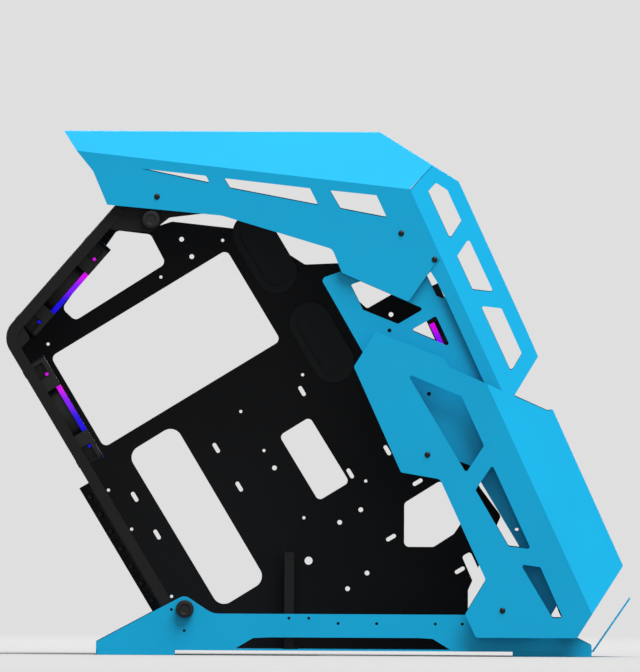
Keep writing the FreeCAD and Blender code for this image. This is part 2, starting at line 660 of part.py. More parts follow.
def motherboard_tray():
    sheet = plate(TRAY_OUTLINE, TRAY_Y, TRAY_BACK)
    cutters = [through(points, r) for points, r in TRAY_WINDOWS]
    cutters += holes(ATX_HOLES, BOARD_HOLE_R) + holes(OTHER_HOLES, OTHER_HOLE_R)
    cutters += holes([CORD_HOLE], CORD_HOLE_R)
    for tilt, spots in ((TRAY_TILT, TIE_SLOTS), (TRAY_TILT - 90, TIE_SLOTS_ACROSS)):
        cutters += [oblong(x, z, TIE_LENGTH, TIE_WIDTH, tilt, 0, FAR) for x, z in spots]
    cutters += [oblong(x, z, CUT_LENGTH, CUT_WIDTH, TRAY_TILT, 0, FAR) for x, z in GROMMETS]
    return sheet.cut(cutters)


parts["motherboard_tray"] = motherboard_tray()


def grommet(x, z):
    """Rubber sleeve that grips the tray's cut edge, with a web slit as two stars and a line."""
    y0, y1 = TRAY_Y - GROMMET_RISE, TRAY_BACK + GROMMET_RISE
    lip = oblong(x, z, GROMMET_LENGTH, GROMMET_WIDTH, TRAY_TILT, y0, y1)
    groove = oblong(x, z, 2 * GROMMET_LENGTH, 2 * GROMMET_WIDTH, TRAY_TILT, TRAY_Y, TRAY_BACK)
    neck = oblong(x, z, CUT_LENGTH, CUT_WIDTH, TRAY_TILT, y0, y1)
    body = joined([lip.cut(groove), neck])
    inner = (CUT_LENGTH - 2 * GROMMET_WALL, CUT_WIDTH - 2 * GROMMET_WALL)
    cuts = [oblong(x, z, *inner, TRAY_TILT, y0, TRAY_Y), oblong(x, z, *inner, TRAY_TILT, TRAY_Y + WEB_T, y1)]
    slits = [(x, z, STAR_APART, 0), (x, z, SLIT_REACH, 90)]
    for end in (-STAR_APART, STAR_APART):
        star = (x + end * TRAY_SIN, z - end * TRAY_COS)
        slits += [(*star, SLIT_REACH, turn) for turn in STAR_TURNS]
    for cx, cz, reach, turn in slits:
        cuts.append(oblong(cx, cz, 2 * reach, SLIT, TRAY_TILT + turn, y0, y1))
    return body.cut(cuts)


for i, (x, z) in enumerate(GROMMETS):
    parts["cable_grommet_%d" % (i + 1)] = grommet(x, z)

# Corner brackets behind the rear corner, between wall and flange
BRACKET_REACH = 24.0
BRACKET_T = 1.5
outline = [rear_top(BRACKET_REACH, CHASSIS_SHEET), (*corner_in(BRACKET_REACH), 4),
           board(WALL_P + CHASSIS_SHEET, CORNER_D + BRACKET_REACH),
           (*corner_in(CHASSIS_SHEET), CORNER_R - CHASSIS_SHEET)]
bracket_y = CHASSIS_SHEET - CHASSIS_HALF
bracket = plate(outline, bracket_y, bracket_y + BRACKET_T)
parts["rear_corner_bracket_left"] = bracket
parts["rear_corner_bracket_right"] = mirrored(bracket)

# Top rails tie the rear frame to the side plates, under the hood
RAIL_OUT = PLATE_HALF - PLATE
KNOB_ON_RAIL = (-170.7, 438.7)
TOP_RAIL = [
    rear_top(REAR_TOP_LENGTH, CHASSIS_SHEET), rear_top(REAR_TOP_LENGTH - 28.0, CHASSIS_SHEET),
    (-206.0, 427.5, 3), (-170.7, 425.5, 11), (-152.0, 440.5, 6), (-99.0, 447.0, 20), (12.0, 414.0, 6),
    (40.0, 385.0, 5), (100.0, 400.0, 5), (96.0, 432.0, 5), (60.0, 438.0, 4), (15.0, 440.0, 8),
    (-95.0, 466.0, 8), (-160.0, 472.0, 5), (-184.0, 474.0, 4),
]
rail = plate(TOP_RAIL, -RAIL_OUT, PLATE - RAIL_OUT)
rail = rail.cut(holes([TOP_SCREWS[0], TOP_SCREWS[1], KNOB_ON_RAIL], SCREW_R))
parts["top_rail_left"] = rail
parts["top_rail_right"] = mirrored(rail)

# A cross bar under the hood joins both rails and carries the switch panel
BAR_X0 = 44.0
BAR_Z = 410.0
BAR_WIDTH = 22.0
BAR_TAB = 14.0
bar_y = PLATE - RAIL_OUT
cross = Part.makeBox(BAR_WIDTH, -2 * bar_y, PLATE, Vec(BAR_X0, bar_y, BAR_Z))
tab = Part.makeBox(BAR_WIDTH, PLATE, BAR_TAB, Vec(BAR_X0, bar_y, BAR_Z))
parts["top_cross_bar"] = joined([cross, tab, mirrored(tab)])

# Front fan plate between the side plates, held to them by bent tabs beside the fans' corners
FAN_PLATE_OVER = 5.0
FAN_PLATE_TOP_S = FRONT_FAN_TOP_S - FAN_PLATE_OVER
FAN_PLATE_END_S = FRONT_FAN_TOP_S + FRONT_FAN_COUNT * FAN_SIZE + FAN_PLATE_OVER
FAN_PLATE_HALF = PLATE_HALF - PLATE
FAN_TAB_DEPTH = 11.0
FAN_TAB_LENGTH = 15.0
FRONT_FAN_S = [FRONT_FAN_TOP_S + FAN_SIZE * (i + 0.5) for i in range(FRONT_FAN_COUNT)]
FAN_TAB_S = [FAN_PLATE_TOP_S + FAN_TAB_LENGTH / 2 + FAN_SIZE * i for i in range(FRONT_FAN_COUNT + 1)]


def slope_box(n0, n1, s0, s1, y0, y1):
    """A block between two distances n from, and two lengths s down, the front slope."""
    return plate([front(n0, s0), front(n1, s0), front(n1, s1), front(n0, s1)], y0, y1)


def front_fan_plate():
    sheet = slope_box(FAN_PLATE_N, FAN_BACK_N, FAN_PLATE_TOP_S, FAN_PLATE_END_S,
                      -FAN_PLATE_HALF, FAN_PLATE_HALF)
    tabs = []
    for s in FAN_TAB_S:
        tab = slope_box(FAN_PLATE_N, FAN_PLATE_N + FAN_TAB_DEPTH,
                        s - FAN_TAB_LENGTH / 2, s + FAN_TAB_LENGTH / 2,
                        -FAN_PLATE_HALF, CHASSIS_SHEET - FAN_PLATE_HALF)
        tabs += [tab, mirrored(tab)]
    cutters = [across_wall(front(FAN_PLATE_N, s), DOWN_FRONT, 0.0, fan_opening()) for s in FRONT_FAN_S]
    return joined([sheet] + tabs).cut(cutters)


parts["front_fan_plate"] = front_fan_plate()

# Supply bracket: an upright frame whose folded edge shows as a post
SUPPLY_X = -34.6
SUPPLY_TOP = 104.0
SUPPLY_POST = 9.8
SUPPLY_NEAR_Y = -90.0
SUPPLY_FAR_Y = 70.0
SUPPLY_SHEET = 1.5
SUPPLY_FOOT = 14.0
SUPPLY_WINDOW_WIDE = 128.0
SUPPLY_WINDOW_HIGH = 70.0
SUPPLY_HOLE_R = 1.8


def supply_bracket():
    height = SUPPLY_TOP - FLOOR_TOP
    width = SUPPLY_FAR_Y - SUPPLY_NEAR_Y
    corner = Vec(SUPPLY_X, SUPPLY_NEAR_Y, FLOOR_TOP)
    face = Part.makeBox(SUPPLY_SHEET, width, height, corner)
    near = Part.makeBox(SUPPLY_POST, SUPPLY_SHEET, height, corner)
    far = near.translated(Vec(0, width - SUPPLY_SHEET, 0))
    foot = Part.makeBox(SUPPLY_FOOT, width, SUPPLY_SHEET, corner)
    middle = corner + Vec(-CUT_REACH, width / 2, height / 2)
    window = Vec(0, -SUPPLY_WINDOW_WIDE / 2, -SUPPLY_WINDOW_HIGH / 2)
    cutters = [Part.makeBox(2 * CUT_REACH, SUPPLY_WINDOW_WIDE, SUPPLY_WINDOW_HIGH, middle + window)]
    for y, z in corners_of(SUPPLY_PITCH_WIDE, SUPPLY_PITCH_HIGH):
        cutters.append(Part.makeCylinder(SUPPLY_HOLE_R, 2 * CUT_REACH, middle + Vec(0, y, z), Vec(1, 0, 0)))
    return joined([face.cut(cutters), near, far, foot])


parts["supply_bracket"] = supply_bracket()

# Fans, drawn flat: Z 0 is the face on the wall, Z FAN_DEPTH the free face with the light ring
CORNER_POST = 34.0
POST_ROUNDING = 6.0
DUCT_R = FAN_SIZE / 2 - 2.5
POCKET_NEAR = 39.5
POCKET_LENGTH = 15.5
POCKET_LOW = 10.0
POCKET_HIGH = 20.4
POCKET_DEPTH = 13.0
MOTOR_R = 21.0
MOTOR_T = 3.0
PIN_LENGTH = 15.0
STRUT_COUNT = 4
STRUT_WIDTH = 4.0
STRUT_LAP = 3.0
STRUT_TURN = 22.5
RING_WIDTH = 5.2
RING_OUT = FAN_SIZE / 2 - 0.2
PEG_AT = 42.0
PEG_R = 1.7
PEG_Z = 18.6
PEG_ROOT = 40.2
PEG_PROUD = 0.8
HUB_R = 20.5
HUB_LOW = MOTOR_T + 1.0
HUB_HIGH = FAN_DEPTH - 2.0
HUB_ROUNDING = 2.0
BORE_DEPTH = PIN_LENGTH + MOTOR_T - HUB_LOW + 0.5
TIP_GAP = 1.5
BLADE_T = 1.4
BLADE_INSET = 1.5
BLADE_SWEEP = -24.0
ROOT_SPREAD = 26.0
TIP_SPREAD = 22.0
TIP_DROP = 0.14
BLADE_SECTIONS = 3


def fan_frame():
    """Square fan frame: corner posts, duct ring, motor plate, struts and the rotor's pin."""
    half = FAN_SIZE / 2
    block = Part.makeBox(FAN_SIZE, FAN_SIZE, FAN_DEPTH, Vec(-half, -half, 0))
    upright = [e for e in block.Edges if abs(e.tangentAt(e.FirstParameter).z) > 0.9]
    block = block.makeFillet(POST_ROUNDING, upright)
    gap = FAN_SIZE - 2 * CORNER_POST
    side_gaps = [Part.makeBox(gap, FAN_SIZE, FAN_DEPTH, Vec(-gap / 2, -half, 0)),
                 Part.makeBox(FAN_SIZE, gap, FAN_DEPTH, Vec(-half, -gap / 2, 0))]
    duct = Part.makeCylinder(DUCT_R, FAN_DEPTH)
    frame = block.cut(side_gaps).fuse(duct).cut(Part.makeCylinder(FAN_BORE / 2, FAN_DEPTH))
    cutters = [Part.makeCylinder(FAN_HOLE_R, FAN_DEPTH, Vec(x, y, 0))
               for x, y in corners_of(FAN_PITCH, FAN_PITCH)]
    height = POCKET_HIGH - POCKET_LOW
    # Pockets in the posts' sides lighten them and show the light ring's pegs
    for x in (POCKET_NEAR, -POCKET_NEAR - POCKET_LENGTH):
        for y in (half - POCKET_DEPTH, -half):
            cutters.append(Part.makeBox(POCKET_LENGTH, POCKET_DEPTH, height, Vec(x, y, POCKET_LOW)))
    frame = frame.cut(cutters)
    struts = []
    for i in range(STRUT_COUNT):
        strut = Part.makeBox(FAN_BORE / 2 - MOTOR_R + 2 * STRUT_LAP, STRUT_WIDTH, MOTOR_T,
                             Vec(MOTOR_R - STRUT_LAP, -STRUT_WIDTH / 2, 0))
        strut.rotate(Vec(0, 0, 0), Vec(0, 0, 1), STRUT_TURN + i * 360 / STRUT_COUNT)
        struts.append(strut.common(duct))
    motor = Part.makeCylinder(MOTOR_R, MOTOR_T)
    pin = Part.makeCylinder(PIN_R, PIN_LENGTH, Vec(0, 0, MOTOR_T))
    return joined([frame, motor, pin] + struts).cut(light_ring())


def light_ring():
    """Lit ring let into the frame at its free face, with a peg into each pocket."""
    z = FAN_DEPTH - RING_WIDTH
    ring = Part.makeCylinder(RING_OUT, RING_WIDTH, Vec(0, 0, z))
    reach = FAN_SIZE / 2 - POCKET_DEPTH + PEG_PROUD - PEG_ROOT
    pegs = [Part.makeCylinder(PEG_R, reach, Vec(x, side * PEG_ROOT, PEG_Z), Vec(0, side, 0))
            for x in (-PEG_AT, PEG_AT) for side in (-1, 1)]
    return joined([ring] + pegs).cut(Part.makeCylinder(DUCT_R, FAN_DEPTH))


def fan_rotor():
    """Hub cup with swept blades, bored for the frame's pin."""
    hub = Part.makeCylinder(HUB_R, HUB_HIGH - HUB_LOW, Vec(0, 0, HUB_LOW))
    rim = [e for e in hub.Edges if abs(e.BoundBox.ZMin - HUB_HIGH) < 0.01 and e.BoundBox.XLength > HUB_R]
    hub = hub.makeFillet(HUB_ROUNDING, rim)
    hub = hub.cut(Part.makeCylinder(PIN_R + RUN_GAP, BORE_DEPTH, Vec(0, 0, HUB_LOW)))
    blade = swept_blade(HUB_R - BLADE_T, FAN_BORE / 2 - TIP_GAP,
                        HUB_LOW + BLADE_INSET, HUB_HIGH - BLADE_INSET)
    blades = []
    for i in range(BLADE_COUNT):
        copy = blade.copy()
        copy.rotate(Vec(0, 0, 0), Vec(0, 0, 1), i * 360 / BLADE_COUNT)
        blades.append(copy)
    return joined([hub] + blades)


def swept_blade(root_r, tip_r, z_low, z_high):
    """A twisted blade, lofted through sections that lie on growing radii."""
    sections = []
    for i in range(BLADE_SECTIONS):
        t = i / (BLADE_SECTIONS - 1)
        r = root_r + (tip_r - root_r) * t
        sweep = BLADE_SWEEP * t
        spread = ROOT_SPREAD + (TIP_SPREAD - ROOT_SPREAD) * t
        drop = (z_high - z_low) * TIP_DROP * t
        lead, trail = math.radians(sweep + spread / 2), math.radians(sweep - spread / 2)
        low, high = z_low + drop, z_high - drop
        corners = [(lead, high), (trail, low + BLADE_T), (trail, low), (lead, high - BLADE_T)]
        points = [Vec(r * math.cos(a), r * math.sin(a), z) for a, z in corners]
        sections.append(Part.makePolygon(points + [points[0]]))
    return Part.makeLoft(sections, True, True)


FAN_FRAME = fan_frame()
FAN_ROTOR = fan_rotor()
FAN_RING = light_ring()


def reverse(direction):
    return (-direction[0], -direction[1])


# Each fan's local Z points into the case from the wall it is screwed to; front fans face out
FANS = {
    "rear_upper": slanted_frame(rear_top(UPPER_FAN_UP, CHASSIS_SHEET), reverse(UP_REAR), UPPER_FAN_Y),
    "rear_lower": slanted_frame(board(WALL_P + CHASSIS_SHEET, LOWER_FAN_D), DOWN_TRAY, LOWER_FAN_Y),
}
for i, s in enumerate(FRONT_FAN_S):
    FANS["front_%d" % (i + 1)] = slanted_frame(front(FAN_BACK_N + FAN_DEPTH, s), reverse(DOWN_FRONT), 0.0)

for name, place in FANS.items():
    for piece, shape in (("frame", FAN_FRAME), ("rotor", FAN_ROTOR), ("light_ring", FAN_RING)):
        copy = shape.copy()
        copy.Placement = place
        parts["%s_fan_%s" % (name, piece)] = copy


# Knobs, spacers and screws

KNOB_GROOVES = 24
GROOVE_R = 0.8
GROOVE_OUT = 0.3
KNOB_ROUNDING = 1.0
KNOB_DISH_R = 5.0
KNOB_DISH = 1.2
KNOB_SHANK = 4.0


def knob(x, z, seat):
    """Grooved thumb knob for a side panel, standing out from its seat."""
    top = seat - KNOB_HEIGHT
    body = rod(x, z, KNOB_R, top, seat)
    rims = [e for e in body.Edges if abs(e.BoundBox.YMin - top) < 0.01 and e.BoundBox.XLength > KNOB_R]
    body = body.makeFillet(KNOB_ROUNDING, rims)
    cutters = [rod(x, z, KNOB_DISH_R, top, top + KNOB_DISH)]
    for i in range(KNOB_GROOVES):
        a = 2 * math.pi * i / KNOB_GROOVES
        reach = KNOB_R + GROOVE_OUT
        cutters.append(rod(x + reach * math.cos(a), z + reach * math.sin(a), GROOVE_R,
                           top + KNOB_ROUNDING, seat - KNOB_ROUNDING))
    return joined([body.cut(cutters), rod(x, z, SCREW_R, seat, seat + KNOB_SHANK)])


ear_knob = knob(*EAR, -BASE_HALF)
rail_knob = knob(*KNOB_ON_RAIL, -RAIL_OUT)
parts["panel_knob_ear_left"] = ear_knob
parts["panel_knob_ear_right"] = mirrored(ear_knob)
parts["panel_knob_top_left"] = rail_knob
parts["panel_knob_top_right"] = mirrored(rail_knob)


def spacer(x, z, y0, y1):
    return rod(x, z, SPACER_R, y0, y1).cut(rod(x, z, SCREW_R, y0, y1))


lower_in = LOWER_COVER_HALF - COVER_SHEET
top_in = TOP_COVER_HALF - COVER_SHEET
spacers = [spacer(x, z, -lower_in, -PLATE_HALF) for x, z in LOWER_SCREWS]
spacers += [spacer(*TOP_SCREWS[1], -top_in, -PLATE_HALF)]
spacers += [spacer(x, z, COVER_SHEET - top_in, -PLATE_HALF) for x, z in [TOP_SCREWS[2]] + UPPER_SCREWS]
spacers += [spacer(*TOP_SCREWS[0], -top_in, -RAIL_OUT)]
parts["cover_spacers"] = Part.makeCompound(spacers + [mirrored(s) for s in spacers])
cover_screws = both_sides(LOWER_SCREWS, LOWER_COVER_HALF, LOWER_COVER_HALF - RAIL_OUT)
cover_screws += both_sides(TOP_SCREWS, TOP_COVER_HALF, TOP_COVER_HALF - RAIL_OUT)
cover_screws += both_sides(UPPER_SCREWS, UPPER_HALF, UPPER_HALF - RAIL_OUT)
parts["cover_screws"] = Part.makeCompound(cover_screws)


# Switch and port panel under the hood's ridge
PANEL_X0 = -62.0
PANEL_X1 = 46.0
PANEL_HALF = 10.0
PANEL_DEPTH = 14.0
PORT_DEPTH = 12.0
JACK_BORE_R = 1.8
TONGUE_T = 2.0
TONGUE_SHORT = 1.0
TONGUE_HEIGHT = 9.0
WELL_DEPTH = 6.0
BUTTON_STEM = 3.5
BUTTON_ROUNDING = 0.5
ridge_in = RIDGE_Z - COVER_SHEET


def port_panel():
    body = Part.makeBox(PANEL_X1 - PANEL_X0, 2 * PANEL_HALF, PANEL_DEPTH,
                        Vec(PANEL_X0, -PANEL_HALF, ridge_in - PANEL_DEPTH))
    bottom = ridge_in - PORT_DEPTH
    wells = [Part.makeCylinder(JACK_BORE_R, PORT_DEPTH, Vec(x, 0, bottom)) for x in JACK_XS]
    tongues = []
    for x in PORT_XS:
        x0 = x - PORT_LENGTH / 2
        wells.append(Part.makeBox(PORT_LENGTH, PORT_WIDTH, PORT_DEPTH, Vec(x0, -PORT_WIDTH / 2, bottom)))
        tongues.append(Part.makeBox(PORT_LENGTH - 2 * TONGUE_SHORT, TONGUE_T, TONGUE_HEIGHT,
                                    Vec(x0 + TONGUE_SHORT, 0, bottom)))
    for x, r in ((POWER_X, POWER_R), (RESET_X, RESET_R)):
        wells.append(Part.makeCylinder(r + BUTTON_GAP, WELL_DEPTH, Vec(x, 0, ridge_in - WELL_DEPTH)))
    return joined([body.cut(wells)] + tongues)


parts["port_panel"] = port_panel()
for name, x, r in (("power_button", POWER_X, POWER_R), ("reset_button", RESET_X, RESET_R)):
    button = Part.makeCylinder(r, COVER_SHEET + BUTTON_STEM, Vec(x, 0, ridge_in - BUTTON_STEM))
    rim = [e for e in button.Edges if abs(e.BoundBox.ZMin - RIDGE_Z) < 0.01]
    parts[name] = button.makeFillet(BUTTON_ROUNDING, rim)


def overall_shift(shapes):
    """Brings the middle of the overall box to the origin."""
    box = FreeCAD.BoundBox()
    for shape in shapes:
        box.add(shape.optimalBoundingBox(False, False))
    return Vec(-(box.XMin + box.XMax) / 2, -(box.YMin + box.YMax) / 2, -box.ZMin)


def save_all():
    os.makedirs("parts", exist_ok=True)
    shift = overall_shift(parts.values())
    print("shift", shift, "pieces", len(parts))
    for name, shape in parts.items():
        moved = shape.copy()
        moved.translate(shift)
        moved.exportStep(os.path.join("parts", name + ".step"))
        print(name, len(moved.Solids), moved.isValid(), round(moved.Volume))


save_all()
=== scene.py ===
"""Dresses an open-frame mid tower computer case: paint, rubber, lit fans and fasteners."""

import json
import math

import bmesh
import bpy
from bpy.props import FloatProperty, FloatVectorProperty, IntProperty, PointerProperty
from mathutils import Matrix, Vector


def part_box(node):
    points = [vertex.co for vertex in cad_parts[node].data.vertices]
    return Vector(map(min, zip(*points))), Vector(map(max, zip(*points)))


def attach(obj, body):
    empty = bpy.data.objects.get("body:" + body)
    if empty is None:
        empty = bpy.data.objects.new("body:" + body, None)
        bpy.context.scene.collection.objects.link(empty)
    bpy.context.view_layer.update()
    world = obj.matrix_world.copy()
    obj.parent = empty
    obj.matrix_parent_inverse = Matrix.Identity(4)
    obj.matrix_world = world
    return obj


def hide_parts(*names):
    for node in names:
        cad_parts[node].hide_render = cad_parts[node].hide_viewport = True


bl_info = {
    "name": "Open-frame computer case",
    "version": (1, 0, 0),
    "blender": (4, 5, 0),
    "location": "3D View > Sidebar > Case",
    "description": "Finishes the covers, chassis, fans and fittings of a mid tower computer case",
    "category": "Object",
}

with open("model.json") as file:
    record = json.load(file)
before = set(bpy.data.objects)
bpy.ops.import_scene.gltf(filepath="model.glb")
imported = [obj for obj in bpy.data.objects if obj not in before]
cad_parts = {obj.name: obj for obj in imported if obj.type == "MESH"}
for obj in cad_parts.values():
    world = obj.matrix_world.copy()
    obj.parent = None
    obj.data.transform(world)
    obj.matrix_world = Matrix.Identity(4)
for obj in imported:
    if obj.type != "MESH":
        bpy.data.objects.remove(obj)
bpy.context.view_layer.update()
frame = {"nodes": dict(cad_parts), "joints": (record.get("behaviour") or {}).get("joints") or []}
NODES = frame["nodes"]
CASE = "case"
MM = 0.001
HALF_TURN = math.pi
FULL_TURN = 2 * math.pi

# Corners nearer to each other than this are one corner
MERGE = 0.002 * MM
# The inner sheets' rounding, as a share of the covers'
INNER_SHARE = 0.8

BLUE_NODES = [
    "top_cover", "front_upper_cover", "front_lower_cover", "side_plate_left", "side_plate_right",
    "base_tray", "foot_rear_left", "foot_rear_right", "foot_front_left", "foot_front_right",
]
BLACK_NODES = [
    "rear_frame", "motherboard_tray", "front_fan_plate", "supply_bracket", "top_rail_left",
    "top_rail_right", "top_cross_bar", "rear_corner_bracket_left", "rear_corner_bracket_right",
    "slot_rail",
] + ["slot_cover_%d" % (i + 1) for i in range(7)]
KNOB_NODES = [
    "panel_knob_ear_left", "panel_knob_ear_right", "panel_knob_top_left", "panel_knob_top_right",
]
GROMMET_NODES = ["cable_grommet_1", "cable_grommet_2"]
SWITCH_NODES = ["port_panel", "power_button", "reset_button"]
FAN_NAMES = ["rear_upper", "rear_lower", "front_1", "front_2", "front_3"]

# Angles above which two faces meet in a crease
PLAIN_CREASE = math.radians(50)
ROTOR_CREASE = math.radians(40)
METAL_CREASE = math.radians(35)
KNURL_CREASE = math.radians(30)


# Sizes and colours that a user may change

class CasePaint(bpy.types.PropertyGroup):
    cover_blue: FloatVectorProperty(
        name="Cover blue", description="Powder coat of covers and base",
        subtype="COLOR", size=3, default=(0.004, 0.350, 0.620), min=0, max=1)
    chassis_black: FloatVectorProperty(
        name="Chassis black", description="Powder coat of the inner sheets",
        subtype="COLOR", size=3, default=(0.0118, 0.0118, 0.0124), min=0, max=1)
    plastic_black: FloatVectorProperty(
        name="Fan plastic", description="Moulded fan frames",
        subtype="COLOR", size=3, default=(0.006, 0.006, 0.0065), min=0, max=1)
    light_top: FloatVectorProperty(
        name="Light, top", description="Colour at the top of each light ring",
        subtype="COLOR", size=3, default=(0.72, 0.002, 0.82), min=0, max=1)
    light_middle: FloatVectorProperty(
        name="Light, middle", description="Colour half-way down each light ring",
        subtype="COLOR", size=3, default=(0.22, 0.001, 0.92), min=0, max=1)
    light_bottom: FloatVectorProperty(
        name="Light, bottom", description="Colour at the bottom of each ring",
        subtype="COLOR", size=3, default=(0.006, 0.002, 0.72), min=0, max=1)
    light_power: FloatProperty(
        name="Light power", description="Strength of the light rings", default=1.0, min=0)


class CaseTrim(bpy.types.PropertyGroup):
    sheet_edge: FloatProperty(
        name="Sheet edge", description="Rounding of the covers' cut edges",
        subtype="DISTANCE", default=0.00032, min=0.0)
    fan_edge: FloatProperty(
        name="Fan edge", description="Rounding of the fan frames' edges",
        subtype="DISTANCE", default=0.0004, min=0.0)
    web_edge: FloatProperty(
        name="Rubber edge", description="Rounding of the rubber lips",
        subtype="DISTANCE", default=0.00015, min=0.0)
    knurl_count: IntProperty(
        name="Knurls", description="Ridges round each thumb knob", default=40, min=8)
    blade_count: IntProperty(name="Blades", description="Blades on each fan", default=9, min=3)


class CaseStage(bpy.types.PropertyGroup):
    view_height: FloatProperty(
        name="View height", description="Height that the picture takes in",
        subtype="DISTANCE", default=0.6766, min=0.1)
    view_distance: FloatProperty(
        name="View distance", description="Camera distance",
        subtype="DISTANCE", default=8.0, min=1)
    view_tip: FloatProperty(
        name="Tip", description="How far the view looks down",
        subtype="ANGLE", default=math.radians(0.25))
    view_centre: FloatVectorProperty(
        name="View centre", description="Point in the picture's middle",
        subtype="TRANSLATION", size=3, default=(0.00096, 0.0, 0.32155))
    view_roll: FloatProperty(
        name="Roll", description="Turn of the picture",
        subtype="ANGLE", default=math.radians(0.28))
    floor_seen: FloatProperty(
        name="Floor grey", description="Lightness of the floor as seen",
        default=0.48, min=0, max=1)
    floor_bounce: FloatProperty(
        name="Floor bounce", description="Lightness with which the floor lights the case",
        default=0.22, min=0, max=1)
    key_power: FloatProperty(
        name="Key light", description="Strength of the key light in watts a square metre",
        default=4.05, min=0)
    key_spread: FloatProperty(
        name="Key spread", description="Width of the key light, wider for softer shadows",
        subtype="ANGLE", default=math.radians(45))
    fill_power: FloatProperty(
        name="Fill light", description="Power of the light in front of the case",
        subtype="POWER", default=28.0, min=0)
    back_power: FloatProperty(
        name="Back light", description="Power of the light behind the case",
        subtype="POWER", default=60.0, min=0)
    sky_seen: FloatProperty(
        name="Backdrop grey", description="Lightness of the backdrop as seen",
        default=0.74, min=0, max=1)
    mirror_share: FloatProperty(
        name="Mirror share", description="Share of that which reflections show",
        default=0.35, min=0, max=1)
    sky_power: FloatProperty(
        name="Sky light", description="Strength of the even light", default=0.41, min=0)


def paint():
    """The colours that are set for this scene."""
    return bpy.context.scene.case_paint


def trim():
    """The roundings and counts that are set for this scene."""
    return bpy.context.scene.case_trim


# Shader node groups

def feed(tree, socket, value):
    """Gives a socket a number, or a link from the socket that brings its value."""
    if isinstance(value, (int, float)):
        socket.default_value = value
    else:
        tree.links.new(value, socket)


def math_node(tree, operation, *values):
    """A math node; each value is a number or the socket that brings it."""
    node = tree.nodes.new("ShaderNodeMath")
    node.operation = operation
    for socket, value in zip(node.inputs, values):
        feed(tree, socket, value)
    return node.outputs[0]


def mapped(tree, value, start=(0.0, 1.0), end=(0.0, 1.0), curve="LINEAR"):
    """Moves a value from one range to another; the ends are numbers or sockets."""
    node = tree.nodes.new("ShaderNodeMapRange")
    node.interpolation_type = curve
    labels = ("Value", "From Min", "From Max", "To Min", "To Max")
    for label, item in zip(labels, (value, *start, *end)):
        feed(tree, node.inputs[label], item)
    return node.outputs["Result"]


def group_tree(name, inputs, outputs):
    """A shader node group with named, typed sockets; returns the tree and its two end nodes."""
    tree = bpy.data.node_groups.new(name, "ShaderNodeTree")
    for label, kind, value in inputs:
        socket = tree.interface.new_socket(name=label, in_out="INPUT", socket_type=kind)
        if value is not None:
            socket.default_value = value
    for label, kind in outputs:
        tree.interface.new_socket(name=label, in_out="OUTPUT", socket_type=kind)
    return tree, tree.nodes.new("NodeGroupInput"), tree.nodes.new("NodeGroupOutput")


GRAIN_HEIGHT = 0.12 * MM
DRIFT_SCALE = 9.0
NOISE_SPAN = (0.3, 0.7)


def coat_grain_group():
    """Fine orange-peel relief and soft drifts in tone of a sprayed or moulded skin."""
    tree, ends_in, ends_out = group_tree(
        "coat_grain",
        [("Grain Size", "NodeSocketFloat", 0.0009), ("Relief", "NodeSocketFloat", 0.12),
         ("Drift", "NodeSocketFloat", 0.04)],
        [("Tone", "NodeSocketFloat"), ("Speck", "NodeSocketFloat"), ("Normal", "NodeSocketVector")])
    new, link = tree.nodes.new, tree.links.new
    coord = new("ShaderNodeTexCoord")
    fine = new("ShaderNodeTexNoise")
    fine.inputs["Detail"].default_value = 2.0
    link(coord.outputs["Object"], fine.inputs["Vector"])
    link(math_node(tree, "DIVIDE", 1.0, ends_in.outputs["Grain Size"]), fine.inputs["Scale"])
    bump = new("ShaderNodeBump")
    bump.inputs["Distance"].default_value = GRAIN_HEIGHT
    link(ends_in.outputs["Relief"], bump.inputs["Strength"])
    link(fine.outputs["Fac"], bump.inputs["Height"])
    broad = new("ShaderNodeTexNoise")
    broad.inputs["Scale"].default_value = DRIFT_SCALE
    broad.inputs["Detail"].default_value = 3.0
    link(coord.outputs["Object"], broad.inputs["Vector"])
    drift = ends_in.outputs["Drift"]
    tones = (math_node(tree, "SUBTRACT", 1.0, drift), math_node(tree, "ADD", 1.0, drift))
    link(mapped(tree, broad.outputs["Fac"], NOISE_SPAN, tones), ends_out.inputs["Tone"])
    link(fine.outputs["Fac"], ends_out.inputs["Speck"])
    link(bump.outputs["Normal"], ends_out.inputs["Normal"])
    return tree


def shared_group(name, make):
    """The node group of that name, made on first use."""
    return bpy.data.node_groups.get(name) or make()


def bare_material(name):
    """A material with a Principled shader; returns it with its tree and shader."""
    mat = bpy.data.materials.new(name)
    mat.use_nodes = True
    tree = mat.node_tree
    shader = next(n for n in tree.nodes if n.type == "BSDF_PRINCIPLED")
    return mat, tree, shader


def toned_colour(tree, colour, tone):
    """Multiplies a colour by a tone that drifts over the surface."""
    mix = tree.nodes.new("ShaderNodeVectorMath")
    mix.operation = "SCALE"
    mix.inputs[0].default_value = colour[:3]
    tree.links.new(tone, mix.inputs["Scale"])
    return mix.outputs["Vector"]


def coated_material(name, colour, roughness, grain, relief, drift, spread=0.08, specular=0.5,
                    metallic=0.0):
    """A sprayed, moulded or oxide skin: grain in its relief and roughness, drift in its tone."""
    mat, tree, shader = bare_material(name)
    coat = tree.nodes.new("ShaderNodeGroup")
    coat.node_tree = shared_group("coat_grain", coat_grain_group)
    coat.inputs["Grain Size"].default_value = grain
    coat.inputs["Relief"].default_value = relief
    coat.inputs["Drift"].default_value = drift
    tree.links.new(toned_colour(tree, colour, coat.outputs["Tone"]), shader.inputs["Base Color"])
    rough = mapped(tree, coat.outputs["Speck"], end=(roughness - spread, roughness + spread))
    tree.links.new(rough, shader.inputs["Roughness"])
    tree.links.new(coat.outputs["Normal"], shader.inputs["Normal"])
    shader.inputs["Specular IOR Level"].default_value = specular
    shader.inputs["Metallic"].default_value = metallic
    return mat


def material_once(name, make):
    """The material of that name, made on first use."""
    return bpy.data.materials.get(name) or make(name)


